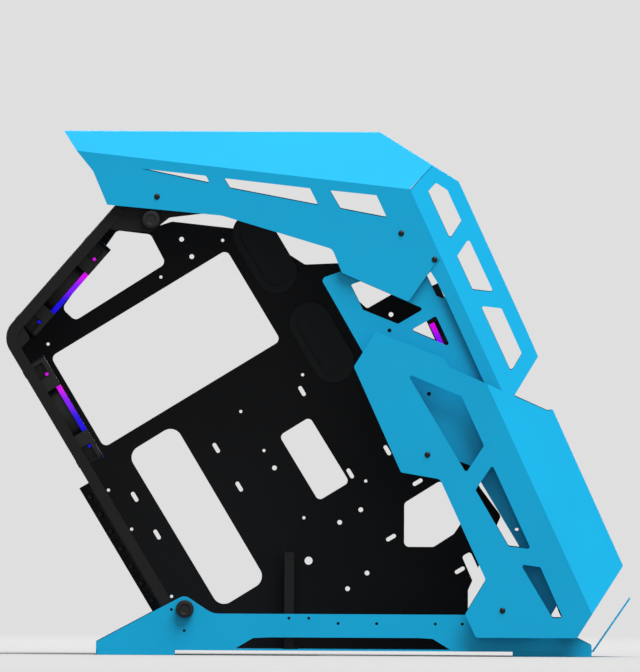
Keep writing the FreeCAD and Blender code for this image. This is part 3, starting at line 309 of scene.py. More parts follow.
def blue_coat(name="blue_powder_coat"):
    return material_once(name, lambda n: coated_material(
        n, paint().cover_blue, roughness=0.46, grain=0.0011, relief=0.10, drift=0.03,
        specular=0.14))


def black_coat(name="black_powder_coat"):
    return material_once(name, lambda n: coated_material(
        n, paint().chassis_black, roughness=0.55, grain=0.0008, relief=0.22, drift=0.10,
        specular=0.09))


def moulded_black(name="moulded_black"):
    return material_once(name, lambda n: coated_material(
        n, paint().plastic_black, roughness=0.42, grain=0.0005, relief=0.15, drift=0.08,
        specular=0.25))


def blade_plastic(name="smoky_blades"):
    return material_once(name, lambda n: coated_material(
        n, (0.011, 0.011, 0.013), roughness=0.24, grain=0.0040, relief=0.05, drift=0.12,
        spread=0.05, specular=0.4))


def soft_rubber(name="grommet_rubber"):
    return material_once(name, lambda n: coated_material(
        n, (0.0085, 0.0085, 0.0088), roughness=0.72, grain=0.0006, relief=0.30, drift=0.15,
        specular=0.2))


def oxide_steel(name="black_oxide_steel"):
    return material_once(name, lambda n: coated_material(
        n, (0.012, 0.012, 0.013), roughness=0.44, grain=0.0012, relief=0.10, drift=0.15,
        specular=0.35, metallic=0.4))


def port_metal(name="port_shell_metal"):
    return material_once(name, lambda n: coated_material(
        n, (0.55, 0.56, 0.58), roughness=0.28, grain=0.0009, relief=0.08, drift=0.05,
        spread=0.06, metallic=1.0))


# Heights, as shares of a ring's own, where its three colours lie
BLUE_UP_TO, VIOLET_AT, MAGENTA_FROM = 0.40, 0.56, 0.71


def ring_light(name, low_z, high_z):
    """Lit diffuser whose colour runs from the ring's bottom to its top."""
    mat, tree, shader = bare_material(name)
    new, link = tree.nodes.new, tree.links.new
    coord = new("ShaderNodeTexCoord")
    split = new("ShaderNodeSeparateXYZ")
    link(coord.outputs["Object"], split.inputs["Vector"])
    ramp = new("ShaderNodeValToRGB")
    ramp.color_ramp.interpolation = "EASE"
    first, last = ramp.color_ramp.elements
    first.position, first.color = BLUE_UP_TO, (*paint().light_bottom, 1)
    last.position, last.color = MAGENTA_FROM, (*paint().light_top, 1)
    ramp.color_ramp.elements.new(VIOLET_AT).color = (*paint().light_middle, 1)
    link(mapped(tree, split.outputs["Z"], (low_z, high_z)), ramp.inputs["Fac"])
    link(ramp.outputs["Color"], shader.inputs["Emission Color"])
    shader.inputs["Base Color"].default_value = (0.02, 0.01, 0.03, 1)
    shader.inputs["Roughness"].default_value = 0.35
    shader.inputs["Specular IOR Level"].default_value = 0.1
    shader.inputs["Emission Strength"].default_value = paint().light_power
    return mat


# Mesh helpers

def placed(name, data):
    """An object at the origin, linked to the scene."""
    obj = bpy.data.objects.new(name, data)
    bpy.context.scene.collection.objects.link(obj)
    return obj


def paint_mesh(mesh, mat):
    mesh.materials.clear()
    mesh.materials.append(mat)


def smooth(mesh, crease):
    """Smooth shading, except where two faces meet at more than the crease angle."""
    mesh.shade_smooth()
    mesh.set_sharp_from_angle(angle=crease)


def piece(name, mesh, mat, crease):
    """A painted and smoothly shaded object at the origin."""
    paint_mesh(mesh, mat)
    smooth(mesh, crease)
    return placed(name, mesh)


def repaint(node, mat):
    """Gives a CAD node a material and leaves its shape as it is."""
    paint_mesh(NODES[node].data, mat)


def keep_result(obj):
    """Makes what an object's modifiers give into its plain mesh."""
    bpy.context.view_layer.update()
    graph = bpy.context.evaluated_depsgraph_get()
    mesh = bpy.data.meshes.new_from_object(obj.evaluated_get(graph))
    obj.modifiers.clear()
    obj.data = mesh


def face_weighted(obj):
    """Gives the flat faces flat shading and leaves the roundings to blend between them."""
    mod = obj.modifiers.new("weighted", "WEIGHTED_NORMAL")
    mod.keep_sharp = True
    mod.weight = 100
    keep_result(obj)


def to_mesh(bm, name):
    mesh = bpy.data.meshes.new(name)
    bm.to_mesh(mesh)
    bm.free()
    return mesh


def closed_mesh(bm, name):
    """Turns the faces of a closed shape outwards and makes it a mesh."""
    bmesh.ops.recalc_face_normals(bm, faces=bm.faces)
    return to_mesh(bm, name)


def merged_copy(node):
    """A copy of a CAD node's mesh with its loose triangles joined up."""
    bm = bmesh.new()
    bm.from_mesh(NODES[node].data)
    bmesh.ops.remove_doubles(bm, verts=bm.verts, dist=MERGE)
    return bm


def rounded_copy(node, width, flat=math.radians(0.6), sharp=math.radians(35)):
    """A copy of a CAD node with whole flat faces and rounded edges, as paint leaves them."""
    bm = merged_copy(node)
    bmesh.ops.dissolve_limit(bm, angle_limit=flat, verts=bm.verts, edges=bm.edges)
    edges = [e for e in bm.edges if len(e.link_faces) == 2 and e.calc_face_angle(0) > sharp]
    bmesh.ops.bevel(bm, geom=edges, offset=width, segments=2, profile=0.5, affect="EDGES",
                    clamp_overlap=True, miter_outer="SHARP", miter_inner="SHARP")
    bmesh.ops.triangulate(bm, faces=[f for f in bm.faces if len(f.verts) > 4])
    return to_mesh(bm, node + "_finished")


def finish_sheets(names, mat, width):
    """Rounds and paints nodes of the fixed case."""
    for name in names:
        obj = piece(name + "_finished", rounded_copy(name, width), mat, PLAIN_CREASE)
        face_weighted(obj)
        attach(obj, CASE)
        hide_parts(name)


def islands(node):
    """Lowest and highest corners of each separate solid in a node."""
    bm = merged_copy(node)
    seen, boxes = set(), []
    for start in bm.verts:
        if start.index in seen:
            continue
        stack, group = [start], []
        seen.add(start.index)
        while stack:
            v = stack.pop()
            group.append(v.co.copy())
            for e in v.link_edges:
                other = e.other_vert(v)
                if other.index not in seen:
                    seen.add(other.index)
                    stack.append(other)
        low = Vector([min(c[k] for c in group) for k in range(3)])
        high = Vector([max(c[k] for c in group) for k in range(3)])
        boxes.append((low, high))
    bm.free()
    return boxes


def middle_at(low, high, y):
    """The middle of a box in X and Z, at the Y that is given."""
    return Vector(((low.x + high.x) / 2, y, (low.z + high.z) / 2))


def circle(radius, steps):
    """Points evenly round a circle, as pairs of X and Y."""
    return [(radius * math.cos(FULL_TURN * i / steps), radius * math.sin(FULL_TURN * i / steps))
            for i in range(steps)]


def band(bm, a, b):
    """Faces between two loops of points; either loop may be a single point."""
    steps = max(len(a), len(b))
    for i in range(steps):
        j = (i + 1) % steps
        corners = (a[i % len(a)], a[j % len(a)], b[j % len(b)], b[i % len(b)])
        bm.faces.new(list(dict.fromkeys(corners)))


def bands(bm, loops):
    """Faces from each loop of points to the next."""
    for a, b in zip(loops, loops[1:]):
        band(bm, a, b)


def revolved(profile, steps):
    """A closed solid of revolution round Z from (radius, height) points, poles closed."""
    bm = bmesh.new()
    bands(bm, [[bm.verts.new((x, y, z)) for x, y in (circle(r, steps) if r else [(0, 0)])]
               for r, z in profile])
    return bm


# Geometry node trees

def node_tree(name, inputs):
    """A geometry tree with named, typed inputs; returns the tree and its two end nodes."""
    tree = bpy.data.node_groups.new(name, "GeometryNodeTree")
    tree.interface.new_socket(name="Geometry", in_out="INPUT", socket_type="NodeSocketGeometry")
    for label, kind in inputs:
        tree.interface.new_socket(name=label, in_out="INPUT", socket_type=kind)
    tree.interface.new_socket(name="Geometry", in_out="OUTPUT", socket_type="NodeSocketGeometry")
    return tree, tree.nodes.new("NodeGroupInput"), tree.nodes.new("NodeGroupOutput")


def close_tree(tree, ends_in, ends_out, instances):
    """Realize the instances and set the material, as the last two steps of every tree."""
    real = tree.nodes.new("GeometryNodeRealizeInstances")
    paint_node = tree.nodes.new("GeometryNodeSetMaterial")
    tree.links.new(instances, real.inputs["Geometry"])
    tree.links.new(real.outputs["Geometry"], paint_node.inputs["Geometry"])
    tree.links.new(ends_in.outputs["Material"], paint_node.inputs["Material"])
    tree.links.new(paint_node.outputs["Geometry"], ends_out.inputs["Geometry"])


def facing_tree():
    """Sets a template on every point, its Z turned to the point's facing attribute."""
    tree, ends_in, ends_out = node_tree(
        "set_on_facing_points",
        [("Template", "NodeSocketObject"), ("Size", "NodeSocketFloat"),
         ("Material", "NodeSocketMaterial")])
    new, link = tree.nodes.new, tree.links.new
    info = new("GeometryNodeObjectInfo")
    link(ends_in.outputs["Template"], info.inputs["Object"])
    facing = new("GeometryNodeInputNamedAttribute")
    facing.data_type = "FLOAT_VECTOR"
    facing.inputs["Name"].default_value = "facing"
    turn = new("FunctionNodeAlignRotationToVector")
    turn.axis = "Z"
    link(facing.outputs["Attribute"], turn.inputs["Vector"])
    put = new("GeometryNodeInstanceOnPoints")
    link(ends_in.outputs["Geometry"], put.inputs["Points"])
    link(info.outputs["Geometry"], put.inputs["Instance"])
    link(turn.outputs["Rotation"], put.inputs["Rotation"])
    link(ends_in.outputs["Size"], put.inputs["Scale"])
    close_tree(tree, ends_in, ends_out, put.outputs["Instances"])
    return tree


def ring_tree():
    """Repeats a template round Z, Count times, and keeps the geometry that came in."""
    tree, ends_in, ends_out = node_tree(
        "repeat_round_axis",
        [("Template", "NodeSocketObject"), ("Count", "NodeSocketInt"),
         ("Material", "NodeSocketMaterial")])
    new, link = tree.nodes.new, tree.links.new
    info = new("GeometryNodeObjectInfo")
    link(ends_in.outputs["Template"], info.inputs["Object"])
    points = new("GeometryNodePoints")
    link(ends_in.outputs["Count"], points.inputs["Count"])
    index = new("GeometryNodeInputIndex")
    share = math_node(tree, "DIVIDE", index.outputs["Index"], ends_in.outputs["Count"])
    euler = new("ShaderNodeCombineXYZ")
    link(math_node(tree, "MULTIPLY", share, FULL_TURN), euler.inputs["Z"])
    put = new("GeometryNodeInstanceOnPoints")
    link(points.outputs[0], put.inputs["Points"])
    link(info.outputs["Geometry"], put.inputs["Instance"])
    link(euler.outputs["Vector"], put.inputs["Rotation"])
    join = new("GeometryNodeJoinGeometry")
    link(ends_in.outputs["Geometry"], join.inputs["Geometry"])
    link(put.outputs["Instances"], join.inputs["Geometry"])
    close_tree(tree, ends_in, ends_out, join.outputs["Geometry"])
    return tree


def run_tree(obj, tree, values):
    """Runs a tree on an object and keeps the result as its plain mesh."""
    mod = obj.modifiers.new("repeat", "NODES")
    mod.node_group = tree
    for item in tree.interface.items_tree:
        if item.in_out == "INPUT" and item.name in values:
            mod[item.identifier] = values[item.name]
    keep_result(obj)


def set_round_axis(obj, mesh, count, mat):
    """Adds a mesh to an object, repeated round the object's Z."""
    template = placed("repeat_template", mesh)
    run_tree(obj, shared_group("repeat_round_axis", ring_tree),
             {"Template": template, "Count": count, "Material": mat})
    bpy.data.objects.remove(template)


def facing_points(name, places):
    """A mesh of bare points, each with the way its piece faces."""
    mesh = bpy.data.meshes.new(name)
    mesh.from_pydata([tuple(p) for p, _ in places], [], [])
    layer = mesh.attributes.new("facing", "FLOAT_VECTOR", "POINT")
    for i, (_, way) in enumerate(places):
        layer.data[i].vector = way
    return placed(name, mesh)


# Fasteners

HEAD_R, HEAD_T = 3.0 * MM, 1.6 * MM
SHANK_R = 1.45 * MM
TIP_LENGTH = 0.4 * MM
SOCKET_R = 1.25 * MM
CROWN_ANGLES = (18, 36, 52)
SCREW_STEPS = 24
COVER_SHANK, SLOT_SHANK = 10.0 * MM, 4.0 * MM

FLAT_HEAD_R, FLAT_HEAD_T = 3.9 * MM, 0.45 * MM
FLAT_SHANK_R, FLAT_SHANK = 1.9 * MM, 10.0 * MM
FLAT_TIP_R, FLAT_TIP_LENGTH = 1.2 * MM, 1.2 * MM
RECESS_R = 1.3 * MM


def flat_screw():
    """A wide screw with a thin flat head and a round driver recess, seated at Z 0."""
    profile = [
        (0, -FLAT_SHANK), (FLAT_TIP_R, -FLAT_SHANK), (FLAT_SHANK_R, -FLAT_SHANK + FLAT_TIP_LENGTH),
        (FLAT_SHANK_R, 0), (FLAT_HEAD_R, 0), (FLAT_HEAD_R, FLAT_HEAD_T * 0.4),
        (FLAT_HEAD_R - 0.5 * MM, FLAT_HEAD_T), (RECESS_R, FLAT_HEAD_T),
        (RECESS_R * 0.8, FLAT_HEAD_T - 0.3 * MM), (0, FLAT_HEAD_T - 0.35 * MM),
    ]
    return closed_mesh(revolved(profile, SCREW_STEPS), "flat_screw")


def button_screw(shank):
    """A button-head screw with a round driver socket, seated at Z 0 with its head up."""
    crown = [(HEAD_R * math.cos(math.radians(a)), HEAD_T * math.sin(math.radians(a)))
             for a in CROWN_ANGLES]
    profile = [
        (0, -shank), (SHANK_R * 0.7, -shank), (SHANK_R, -shank + TIP_LENGTH), (SHANK_R, 0),
        (HEAD_R, 0), *crown, (SOCKET_R, HEAD_T * 0.97), (SOCKET_R, HEAD_T * 0.35),
        (0, HEAD_T * 0.30),
    ]
    return closed_mesh(revolved(profile, SCREW_STEPS), "button_screw")


def screw_piece(name, places, screw, replaced=None):
    """One piece with a screw at every place; it may stand for a CAD node."""
    template = placed("screw_template", screw)
    obj = facing_points(name, places)
    run_tree(obj, shared_group("set_on_facing_points", facing_tree),
             {"Template": template, "Size": 1.0, "Material": oxide_steel()})
    bpy.data.objects.remove(template)
    smooth(obj.data, METAL_CREASE)
    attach(obj, CASE)
    if replaced:
        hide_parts(replaced)


def outer_side(low, high):
    """Which side of the case a box is on, 1 or -1 in Y, and the Y of its outer face."""
    return (1, high.y) if high.y + low.y > 0 else (-1, low.y)


def cover_screw_places():
    """The seats of the CAD's cover screws, and the way each head faces."""
    places = []
    for low, high in islands("cover_screws"):
        side, outer = outer_side(low, high)
        places.append((middle_at(low, high, outer - side * HEAD_T), Vector((0, side, 0))))
    return places


def slot_screw_places():
    """The seats of the CAD's slot screws; their heads face the case's near side."""
    return [(middle_at(low, high, low.y + HEAD_T), Vector((0, -1, 0)))
            for low, high in islands("slot_screws")]


# Fans

def fan_matrix(name):
    """Turns a fan that is drawn flat at the origin to its place on its joint's axis."""
    joint = next(j for j in frame["joints"] if j["name"] == name + "_fan_spin")
    z = Vector(joint["axis"]).normalized()
    y = Vector((0, 1, 0))
    x = y.cross(z)
    return Matrix.Translation(Vector(joint["pos_m"])) @ Matrix((x, y, z)).transposed().to_4x4()


FAN_DEPTH = 25.0 * MM
FAN_HALF_PITCH = 52.5 * MM
WALL_T = 1.2 * MM

HUB_R = 20.5 * MM
HUB_LOW, HUB_HIGH = 4.0 * MM, 23.0 * MM
HUB_STEPS = 64
BORE_R, BORE_DEPTH = 1.56 * MM, 14.5 * MM
BORE_BEVEL = 0.2 * MM
HUB_EDGE = 0.5 * MM

# Sweep and spread are in degrees, EDGE_T and BELLY_T in millimetres
TIP_R = 54.8 * MM
ROOT_SINK = 0.8 * MM
BLADE_SWEEP, SWEEP_POWER = 26.0, 1.3
BLADE_SPREAD, SPREAD_LOSS = 27.0, 3.0
BLADE_LOW, BLADE_HIGH, BLADE_TAPER = 5.6 * MM, 21.4 * MM, 2.2 * MM
BLADE_CAMBER = 1.9 * MM
EDGE_T, BELLY_T, BELLY_POWER, NOSE = 0.35, 0.75, 0.7, 0.08


def hub_mesh():
    """Hub cup with a stepped face and a blind bore for the pin."""
    groove = HUB_HIGH - HUB_EDGE
    profile = [
        (0, HUB_LOW + BORE_DEPTH), (BORE_R, HUB_LOW + BORE_DEPTH), (BORE_R, HUB_LOW + BORE_BEVEL),
        (BORE_R + BORE_BEVEL, HUB_LOW), (HUB_R - HUB_EDGE, HUB_LOW), (HUB_R, HUB_LOW + HUB_EDGE),
        (HUB_R, HUB_HIGH - 2.0 * MM), (HUB_R - 0.6 * MM, HUB_HIGH - 0.7 * MM),
        (HUB_R - 2.0 * MM, HUB_HIGH), (HUB_R - 3.6 * MM, HUB_HIGH), (HUB_R - 4.0 * MM, groove),
        (HUB_R - 5.0 * MM, groove), (HUB_R - 5.4 * MM, HUB_HIGH), (0, HUB_HIGH),
    ]
    return closed_mesh(revolved(profile, HUB_STEPS), "fan_hub")


def blade_point(t, u, side):
    """A point of the blade: t from root to tip, u from low edge to high edge, side 0 or 1."""
    r = HUB_R - ROOT_SINK + (TIP_R - HUB_R + ROOT_SINK) * t
    sweep = math.radians(-BLADE_SWEEP * t ** SWEEP_POWER)
    a = sweep + math.radians(BLADE_SPREAD - SPREAD_LOSS * t) * (u - 0.5)
    low, high = BLADE_LOW + BLADE_TAPER * t, BLADE_HIGH - BLADE_TAPER * t
    belly = math.sin(HALF_TURN * min(1.0, NOSE + u * (1 - NOSE))) ** BELLY_POWER
    thick = (EDGE_T + BELLY_T * belly) * MM
    z = low + (high - low) * u + BLADE_CAMBER * math.sin(HALF_TURN * u)
    return r * math.cos(a), r * math.sin(a), z + thick * (0.5 if side else -0.5)


def blade_mesh(columns=9, rows=7):
    """One swept, twisted and cambered blade as a closed thin shell."""
    bm = bmesh.new()
    grid = {(side, i, k): bm.verts.new(blade_point(i / (columns - 1), k / (rows - 1), side))
            for side in (0, 1) for i in range(columns) for k in range(rows)}
    for i in range(columns - 1):
        for k in range(rows - 1):
            cell = ((i, k), (i + 1, k), (i + 1, k + 1), (i, k + 1))
            bm.faces.new([grid[1, a, b] for a, b in cell])
            bm.faces.new([grid[0, a, b] for a, b in reversed(cell)])
    rim = [(i, 0) for i in range(columns)] + [(columns - 1, k) for k in range(1, rows)]
    rim += [(i, rows - 1) for i in range(columns - 2, -1, -1)]
    rim += [(0, k) for k in range(rows - 2, 0, -1)]
    for a, b in zip(rim, rim[1:] + rim[:1]):
        bm.faces.new((grid[0, *a], grid[0, *b], grid[1, *b], grid[1, *a]))
    return closed_mesh(bm, "fan_blade")


def make_rotor(name):
    """A hub with its blades, in place of the CAD's rotor."""
    obj = placed(name + "_fan_blades", hub_mesh())
    set_round_axis(obj, blade_mesh(), trim().blade_count, blade_plastic())
    obj.data.transform(fan_matrix(name))
    smooth(obj.data, ROTOR_CREASE)
    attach(obj, name + "_rotor")
    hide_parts(name + "_fan_rotor")


def make_fan_body(name):
    """The moulded frame with rounded edges, and the lit ring that is let into it."""
    frame_node, ring_node = name + "_fan_frame", name + "_fan_light_ring"
    mesh = rounded_copy(frame_node, trim().fan_edge)
    body = piece(name + "_fan_body", mesh, moulded_black(), PLAIN_CREASE)
    face_weighted(body)
    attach(body, CASE)
    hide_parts(frame_node)
    low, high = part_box(ring_node)
    repaint(ring_node, ring_light(name + "_ring_light", low.z, high.z))


def fan_screw_places():
    """Four heads a fan, on the outer face of the sheet that carries it."""
    places = []
    for name in FAN_NAMES:
        turn = fan_matrix(name)
        face, way = (FAN_DEPTH + WALL_T, 1) if name.startswith("front") else (-WALL_T, -1)
        for x in (-FAN_HALF_PITCH, FAN_HALF_PITCH):
            for y in (-FAN_HALF_PITCH, FAN_HALF_PITCH):
                seat = turn @ Vector((x, y, face))
                places.append((seat, turn.to_3x3() @ Vector((0, 0, way))))
    return places


# Ports

RIDGE_T = 1.5 * MM
PORT_ORIGIN = 62.0 * MM
PORT_XS = [-4.0 * MM, -22.0 * MM]
JACK_XS = [-40.0 * MM, -52.0 * MM]
PORT_HALF = (6.55 * MM, 2.85 * MM)
PORT_DEPTH = 11.0 * MM
PORT_SINK = 0.15 * MM
SHELL_T = 0.35 * MM
JACK_IN, JACK_OUT = 1.8 * MM, 3.2 * MM
JACK_BEVEL = 0.35 * MM
JACK_STEPS = 32
CORNERS = ((-1, -1), (1, -1), (1, 1), (-1, 1))


def add_port_shell(bm, x, top):
    """A folded metal sleeve, open at the top, inside a port's well."""
    loops = []
    for z, inset in ((top - PORT_DEPTH, 0), (top, 0), (top, SHELL_T), (top - PORT_DEPTH, SHELL_T)):
        a, b = PORT_HALF[0] - inset, PORT_HALF[1] - inset
        loops.append([bm.verts.new((x + sx * a, sy * b, z)) for sx, sy in CORNERS])
    bands(bm, loops + loops[:1])


def add_jack_collar(bm, x, top):
    """A turned collar round an audio jack's bore."""
    profile = [(JACK_IN, top - RIDGE_T), (JACK_OUT, top - RIDGE_T), (JACK_OUT, top - JACK_BEVEL),
               (JACK_OUT - JACK_BEVEL, top), (JACK_IN + JACK_BEVEL, top),
               (JACK_IN, top - JACK_BEVEL)]
    loops = [[bm.verts.new((x + a, b, z)) for a, b in circle(r, JACK_STEPS)] for r, z in profile]
    bands(bm, loops + loops[:1])


def make_port_metal():
    """The port shells and jack collars, for which the CAD has the wells and bores."""
    low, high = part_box("port_panel")
    zero, top = low.x + PORT_ORIGIN, high.z + RIDGE_T - PORT_SINK
    bm = bmesh.new()
    for x in PORT_XS:
        add_port_shell(bm, zero + x, top)
    for x in JACK_XS:
        add_jack_collar(bm, zero + x, top)
    obj = piece("port_shells", closed_mesh(bm, "port_shells"), port_metal(), METAL_CREASE)
    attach(obj, CASE)


# Knobs

KNOB_HEIGHT = 9.0 * MM
KNOB_END = 13.0 * MM
KNOB_STEPS = 64
DISH_R, DISH_DEPTH = 5.0 * MM, 1.3 * MM
KNOB_SHANK_R = 1.5 * MM
KNURL_DEPTH, KNURL_OVER = 0.7 * MM, 0.02 * MM
KNURL_HALF, KNURL_SINK, KNURL_INSET = 0.55 * MM, 0.1 * MM, 1.2 * MM


def knob_mesh(r):
    """The turned body of a knob: dished face at Z 0, plain core and threaded shank."""
    core, rim = r - KNURL_DEPTH, r - 0.35 * MM
    profile = [
        (0, -DISH_DEPTH), (DISH_R - 0.4 * MM, -DISH_DEPTH), (DISH_R, -0.9 * MM),
        (DISH_R, -0.25 * MM), (DISH_R + 0.25 * MM, 0), (r - 1.4 * MM, 0),
        (r - 0.6 * MM, -0.35 * MM), (rim, -0.9 * MM), (core, -DISH_DEPTH),
        (core, -KNOB_HEIGHT + DISH_DEPTH), (rim, -KNOB_HEIGHT + 0.9 * MM),
        (rim, -KNOB_HEIGHT + 0.3 * MM), (r - 0.65 * MM, -KNOB_HEIGHT),
        (KNOB_SHANK_R, -KNOB_HEIGHT), (KNOB_SHANK_R, -KNOB_END + 0.3 * MM),
        (KNOB_SHANK_R - 0.3 * MM, -KNOB_END), (0, -KNOB_END),
    ]
    return closed_mesh(revolved(profile, KNOB_STEPS), "knob_core")


def knurl_mesh(r):
    """One ridge along a knob's side, its root inside the core."""
    root, tip = r - KNURL_DEPTH - KNURL_SINK, r + KNURL_OVER
    bm = bmesh.new()
    ends = [[bm.verts.new(p) for p in ((root, -KNURL_HALF, z), (tip, 0, z), (root, KNURL_HALF, z))]
            for z in (-KNOB_HEIGHT + KNURL_INSET, -KNURL_INSET)]
    band(bm, *ends)
    bm.faces.new(ends[0])
    bm.faces.new(ends[1])
    return closed_mesh(bm, "knurl")


def make_knob(node):
    """A knurled thumb knob with a dished face, on its threaded shank."""
    low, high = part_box(node)
    side, outer = outer_side(low, high)
    r = (high.x - low.x) / 2
    obj = placed(node + "_knurled", knob_mesh(r))
    set_round_axis(obj, knurl_mesh(r), trim().knurl_count, oxide_steel())
    turn = Matrix.Rotation(side * -HALF_TURN / 2, 4, "X")
    obj.data.transform(Matrix.Translation(middle_at(low, high, outer)) @ turn)
    smooth(obj.data, KNURL_CREASE)
    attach(obj, CASE)
    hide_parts(node)


# Grommets

LIP_RISE = 1.6 * MM
WEB_T = 1.2 * MM
WEB_TILT = math.radians(-31)
LEAF_LENGTH, LEAF_WIDTH, LEAF_T = 74.0 * MM, 29.0 * MM, 0.3 * MM
LEAF_STEPS = 12


def web_leaf(node):
    """The middle of a grommet's web, where its cut flaps touch and let no light through."""
    low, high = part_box(node)
    middle = middle_at(low, high, low.y + LIP_RISE + WEB_T / 2)
    r, reach = LEAF_WIDTH / 2, (LEAF_LENGTH - LEAF_WIDTH) / 2
    rim = []
    for side in (1, -1):
        for i in range(LEAF_STEPS + 1):
            a = HALF_TURN * i / LEAF_STEPS
            rim.append((side * r * math.cos(a), side * (reach + r * math.sin(a))))
    bm = bmesh.new()
    turn = Matrix.Rotation(WEB_TILT, 3, "Y")
    loops = [[bm.verts.new(middle + turn @ Vector((x, y, z))) for x, z in rim]
             for y in (-LEAF_T / 2, LEAF_T / 2)]
    bm.faces.new(loops[0])
    bm.faces.new(loops[1])
    band(bm, *loops)
    bmesh.ops.recalc_face_normals(bm, faces=bm.faces)
    return bm


def make_grommet(node):
    """A rubber grommet with rounded lips and a slit web that lies shut."""
    bm = web_leaf(node)
    bm.from_mesh(rounded_copy(node, trim().web_edge))
    obj = piece(node + "_rubber", to_mesh(bm, node + "_rubber"), soft_rubber(), PLAIN_CREASE)
    face_weighted(obj)
    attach(obj, CASE)
    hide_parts(node)


# Operators

class CASE_OT_finish_covers(bpy.types.Operator):
    """Rounds and paints the blue covers, side plates, base and feet"""
    bl_idname = "case.finish_covers"
    bl_label = "Covers and base"

    def execute(self, context):
        finish_sheets(BLUE_NODES, blue_coat(), trim().sheet_edge)
        return {"FINISHED"}


class CASE_OT_finish_chassis(bpy.types.Operator):
    """Rounds and paints the black tray, rear frame, rails and brackets"""
    bl_idname = "case.finish_chassis"
    bl_label = "Chassis"

    def execute(self, context):
        finish_sheets(BLACK_NODES, black_coat(), trim().sheet_edge * INNER_SHARE)
        return {"FINISHED"}


class CASE_OT_make_fans(bpy.types.Operator):
    """Makes the fan bodies, bladed rotors and light rings"""
    bl_idname = "case.make_fans"
    bl_label = "Fans"

    def execute(self, context):
        for name in FAN_NAMES:
            make_fan_body(name)
            make_rotor(name)
        return {"FINISHED"}


class CASE_OT_make_fittings(bpy.types.Operator):
    """Makes the screws and thumb knobs, and colours the spacers"""
    bl_idname = "case.make_fittings"
    bl_label = "Screws and knobs"

    def execute(self, context):
        screw_piece("cover_button_screws", cover_screw_places(), button_screw(COVER_SHANK),
                    "cover_screws")
        screw_piece("slot_button_screws", slot_screw_places(), button_screw(SLOT_SHANK),
                    "slot_screws")
        screw_piece("fan_screws", fan_screw_places(), flat_screw())
        for node in KNOB_NODES:
            make_knob(node)
        repaint("cover_spacers", oxide_steel())
        return {"FINISHED"}


class CASE_OT_make_grommets(bpy.types.Operator):
    """Rounds the lips of the two cable grommets, shuts their slits and makes them rubber"""
    bl_idname = "case.make_grommets"
    bl_label = "Cable grommets"

    def execute(self, context):
        for node in GROMMET_NODES:
            make_grommet(node)
        return {"FINISHED"}


class CASE_OT_make_switches(bpy.types.Operator):
    """Finishes the switch and port panel in the hood's ridge"""
    bl_idname = "case.make_switches"
    bl_label = "Switches and ports"

    def execute(self, context):
        for node in SWITCH_NODES:
            repaint(node, moulded_black())
        make_port_metal()
        return {"FINISHED"}


# Stage

FLOOR_R, FLOOR_STEPS = 5.0, 64
FADE_FROM = 0.9
AIM = Vector((0, 0, 0.25))
KEY_PLACE = (0.9, -1.3, 3.2)
FILL_PLACE = (0.3, -5.5, 1.0)
BACK_PLACE = (-0.6, 5.0, 1.6)
LAMP_SIZE = 4.0


def looked_at(tree, mirror_share):
    """1 for what the camera sees, straight or through glass; a share of that in reflections."""
    path = tree.nodes.new("ShaderNodeLightPath")
    straight = math_node(tree, "MAXIMUM", path.outputs["Is Camera Ray"],
                         path.outputs["Is Transmission Ray"])
    mirrored = math_node(tree, "MULTIPLY", path.outputs["Is Glossy Ray"], mirror_share)
    return math_node(tree, "MAXIMUM", straight, mirrored)


def floor_material(settings):
    """Pale paper that keeps the case's shadow and fades into the backdrop further out."""
    mat, tree, shader = bare_material("studio_paper")
    grey = mapped(tree, looked_at(tree, settings.mirror_share),
                  end=(settings.floor_bounce, settings.floor_seen))
    tree.links.new(toned_colour(tree, (1, 1, 1), grey), shader.inputs["Base Color"])
    shader.inputs["Roughness"].default_value = 0.9
    shader.inputs["Specular IOR Level"].default_value = 0.0
    coord = tree.nodes.new("ShaderNodeTexCoord")
    length = tree.nodes.new("ShaderNodeVectorMath")
    length.operation = "LENGTH"
    tree.links.new(coord.outputs["Object"], length.inputs[0])
    clear = tree.nodes.new("ShaderNodeBsdfTransparent")
    mix = tree.nodes.new("ShaderNodeMixShader")
    fade = mapped(tree, length.outputs["Value"], (FADE_FROM, FLOOR_R), curve="SMOOTHSTEP")
    tree.links.new(fade, mix.inputs["Fac"])
    tree.links.new(shader.outputs["BSDF"], mix.inputs[1])
    tree.links.new(clear.outputs["BSDF"], mix.inputs[2])
    ends = next(n for n in tree.nodes if n.type == "OUTPUT_MATERIAL")
    tree.links.new(mix.outputs["Shader"], ends.inputs["Surface"])
    return mat


def make_floor(settings):
    """Round floor under the case."""
    mesh = bpy.data.meshes.new("studio_floor")
    mesh.from_pydata([(x, y, 0.0) for x, y in circle(FLOOR_R, FLOOR_STEPS)], [],
                     [list(range(FLOOR_STEPS))])
    paint_mesh(mesh, floor_material(settings))
    placed("studio_floor", mesh)


def aimed_light(name, kind, place, power):
    """A light that points from its place to the middle of the case."""
    data = bpy.data.lights.new(name, kind)
    data.energy = power
    obj = placed(name, data)
    obj.location = place
    obj.rotation_euler = (AIM - Vector(place)).to_track_quat("-Z", "Y").to_euler()
    return data


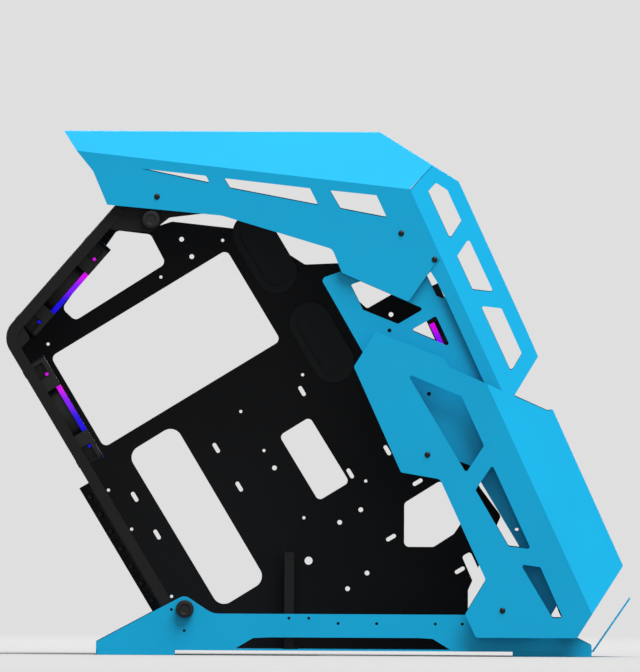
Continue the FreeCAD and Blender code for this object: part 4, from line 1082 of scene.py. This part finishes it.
def make_lights(settings):
    """A sun as the key light, a wide lamp before and behind the case, and an even sky."""
    aimed_light("key", "SUN", KEY_PLACE, settings.key_power).angle = settings.key_spread
    for name, place, power in (("fill", FILL_PLACE, settings.fill_power),
                               ("back", BACK_PLACE, settings.back_power)):
        data = aimed_light(name, "AREA", place, power)
        data.shape = "DISK"
        data.size = LAMP_SIZE
    world = bpy.data.worlds.new("studio_sky")
    bpy.context.scene.world = world
    world.use_nodes = True
    tree = world.node_tree
    sky = tree.nodes["Background"]
    sky.inputs["Color"].default_value = (1, 1, 1, 1)
    strength = mapped(tree, looked_at(tree, settings.mirror_share),
                      end=(settings.sky_power, settings.sky_seen))
    tree.links.new(strength, sky.inputs["Strength"])


def make_camera(settings):
    """A camera without perspective, square to the case's side and tipped down by a hair."""
    data = bpy.data.cameras.new("camera")
    data.type = "ORTHO"
    data.ortho_scale = settings.view_height
    obj = placed("camera", data)
    tip = Matrix.Rotation(HALF_TURN / 2 - settings.view_tip, 3, "X")
    turn = Matrix.Rotation(-settings.view_roll, 3, "Y") @ tip
    obj.location = Vector(settings.view_centre) + turn @ Vector((0, 0, settings.view_distance))
    obj.rotation_euler = turn.to_euler()
    bpy.context.scene.camera = obj


class CASE_OT_make_stage(bpy.types.Operator):
    """Sets the floor, the lights and the camera"""
    bl_idname = "case.make_stage"
    bl_label = "Stage"

    def execute(self, context):
        settings = context.scene.case_stage
        make_camera(settings)
        make_floor(settings)
        make_lights(settings)
        context.scene.view_settings.view_transform = "Standard"
        return {"FINISHED"}


OPERATORS = [
    CASE_OT_make_stage, CASE_OT_finish_covers, CASE_OT_finish_chassis, CASE_OT_make_fans,
    CASE_OT_make_fittings, CASE_OT_make_grommets, CASE_OT_make_switches,
]


class CASE_PT_panel(bpy.types.Panel):
    """Lists the steps that build the case"""
    bl_idname = "CASE_PT_panel"
    bl_label = "Computer case"
    bl_space_type = "VIEW_3D"
    bl_region_type = "UI"
    bl_category = "Case"

    def draw(self, context):
        for operator in OPERATORS:
            self.layout.operator(operator.bl_idname)


CLASSES = [CasePaint, CaseTrim, CaseStage] + OPERATORS + [CASE_PT_panel]


def register():
    for cls in CLASSES:
        bpy.utils.register_class(cls)
    bpy.types.Scene.case_paint = PointerProperty(type=CasePaint)
    bpy.types.Scene.case_trim = PointerProperty(type=CaseTrim)
    bpy.types.Scene.case_stage = PointerProperty(type=CaseStage)


def unregister():
    for name in ("case_paint", "case_trim", "case_stage"):
        delattr(bpy.types.Scene, name)
    for cls in reversed(CLASSES):
        bpy.utils.unregister_class(cls)


def main():
    register()
    for operator in OPERATORS:
        getattr(bpy.ops.case, operator.bl_idname.split(".")[1])()


if __name__ == "__main__":
    main()
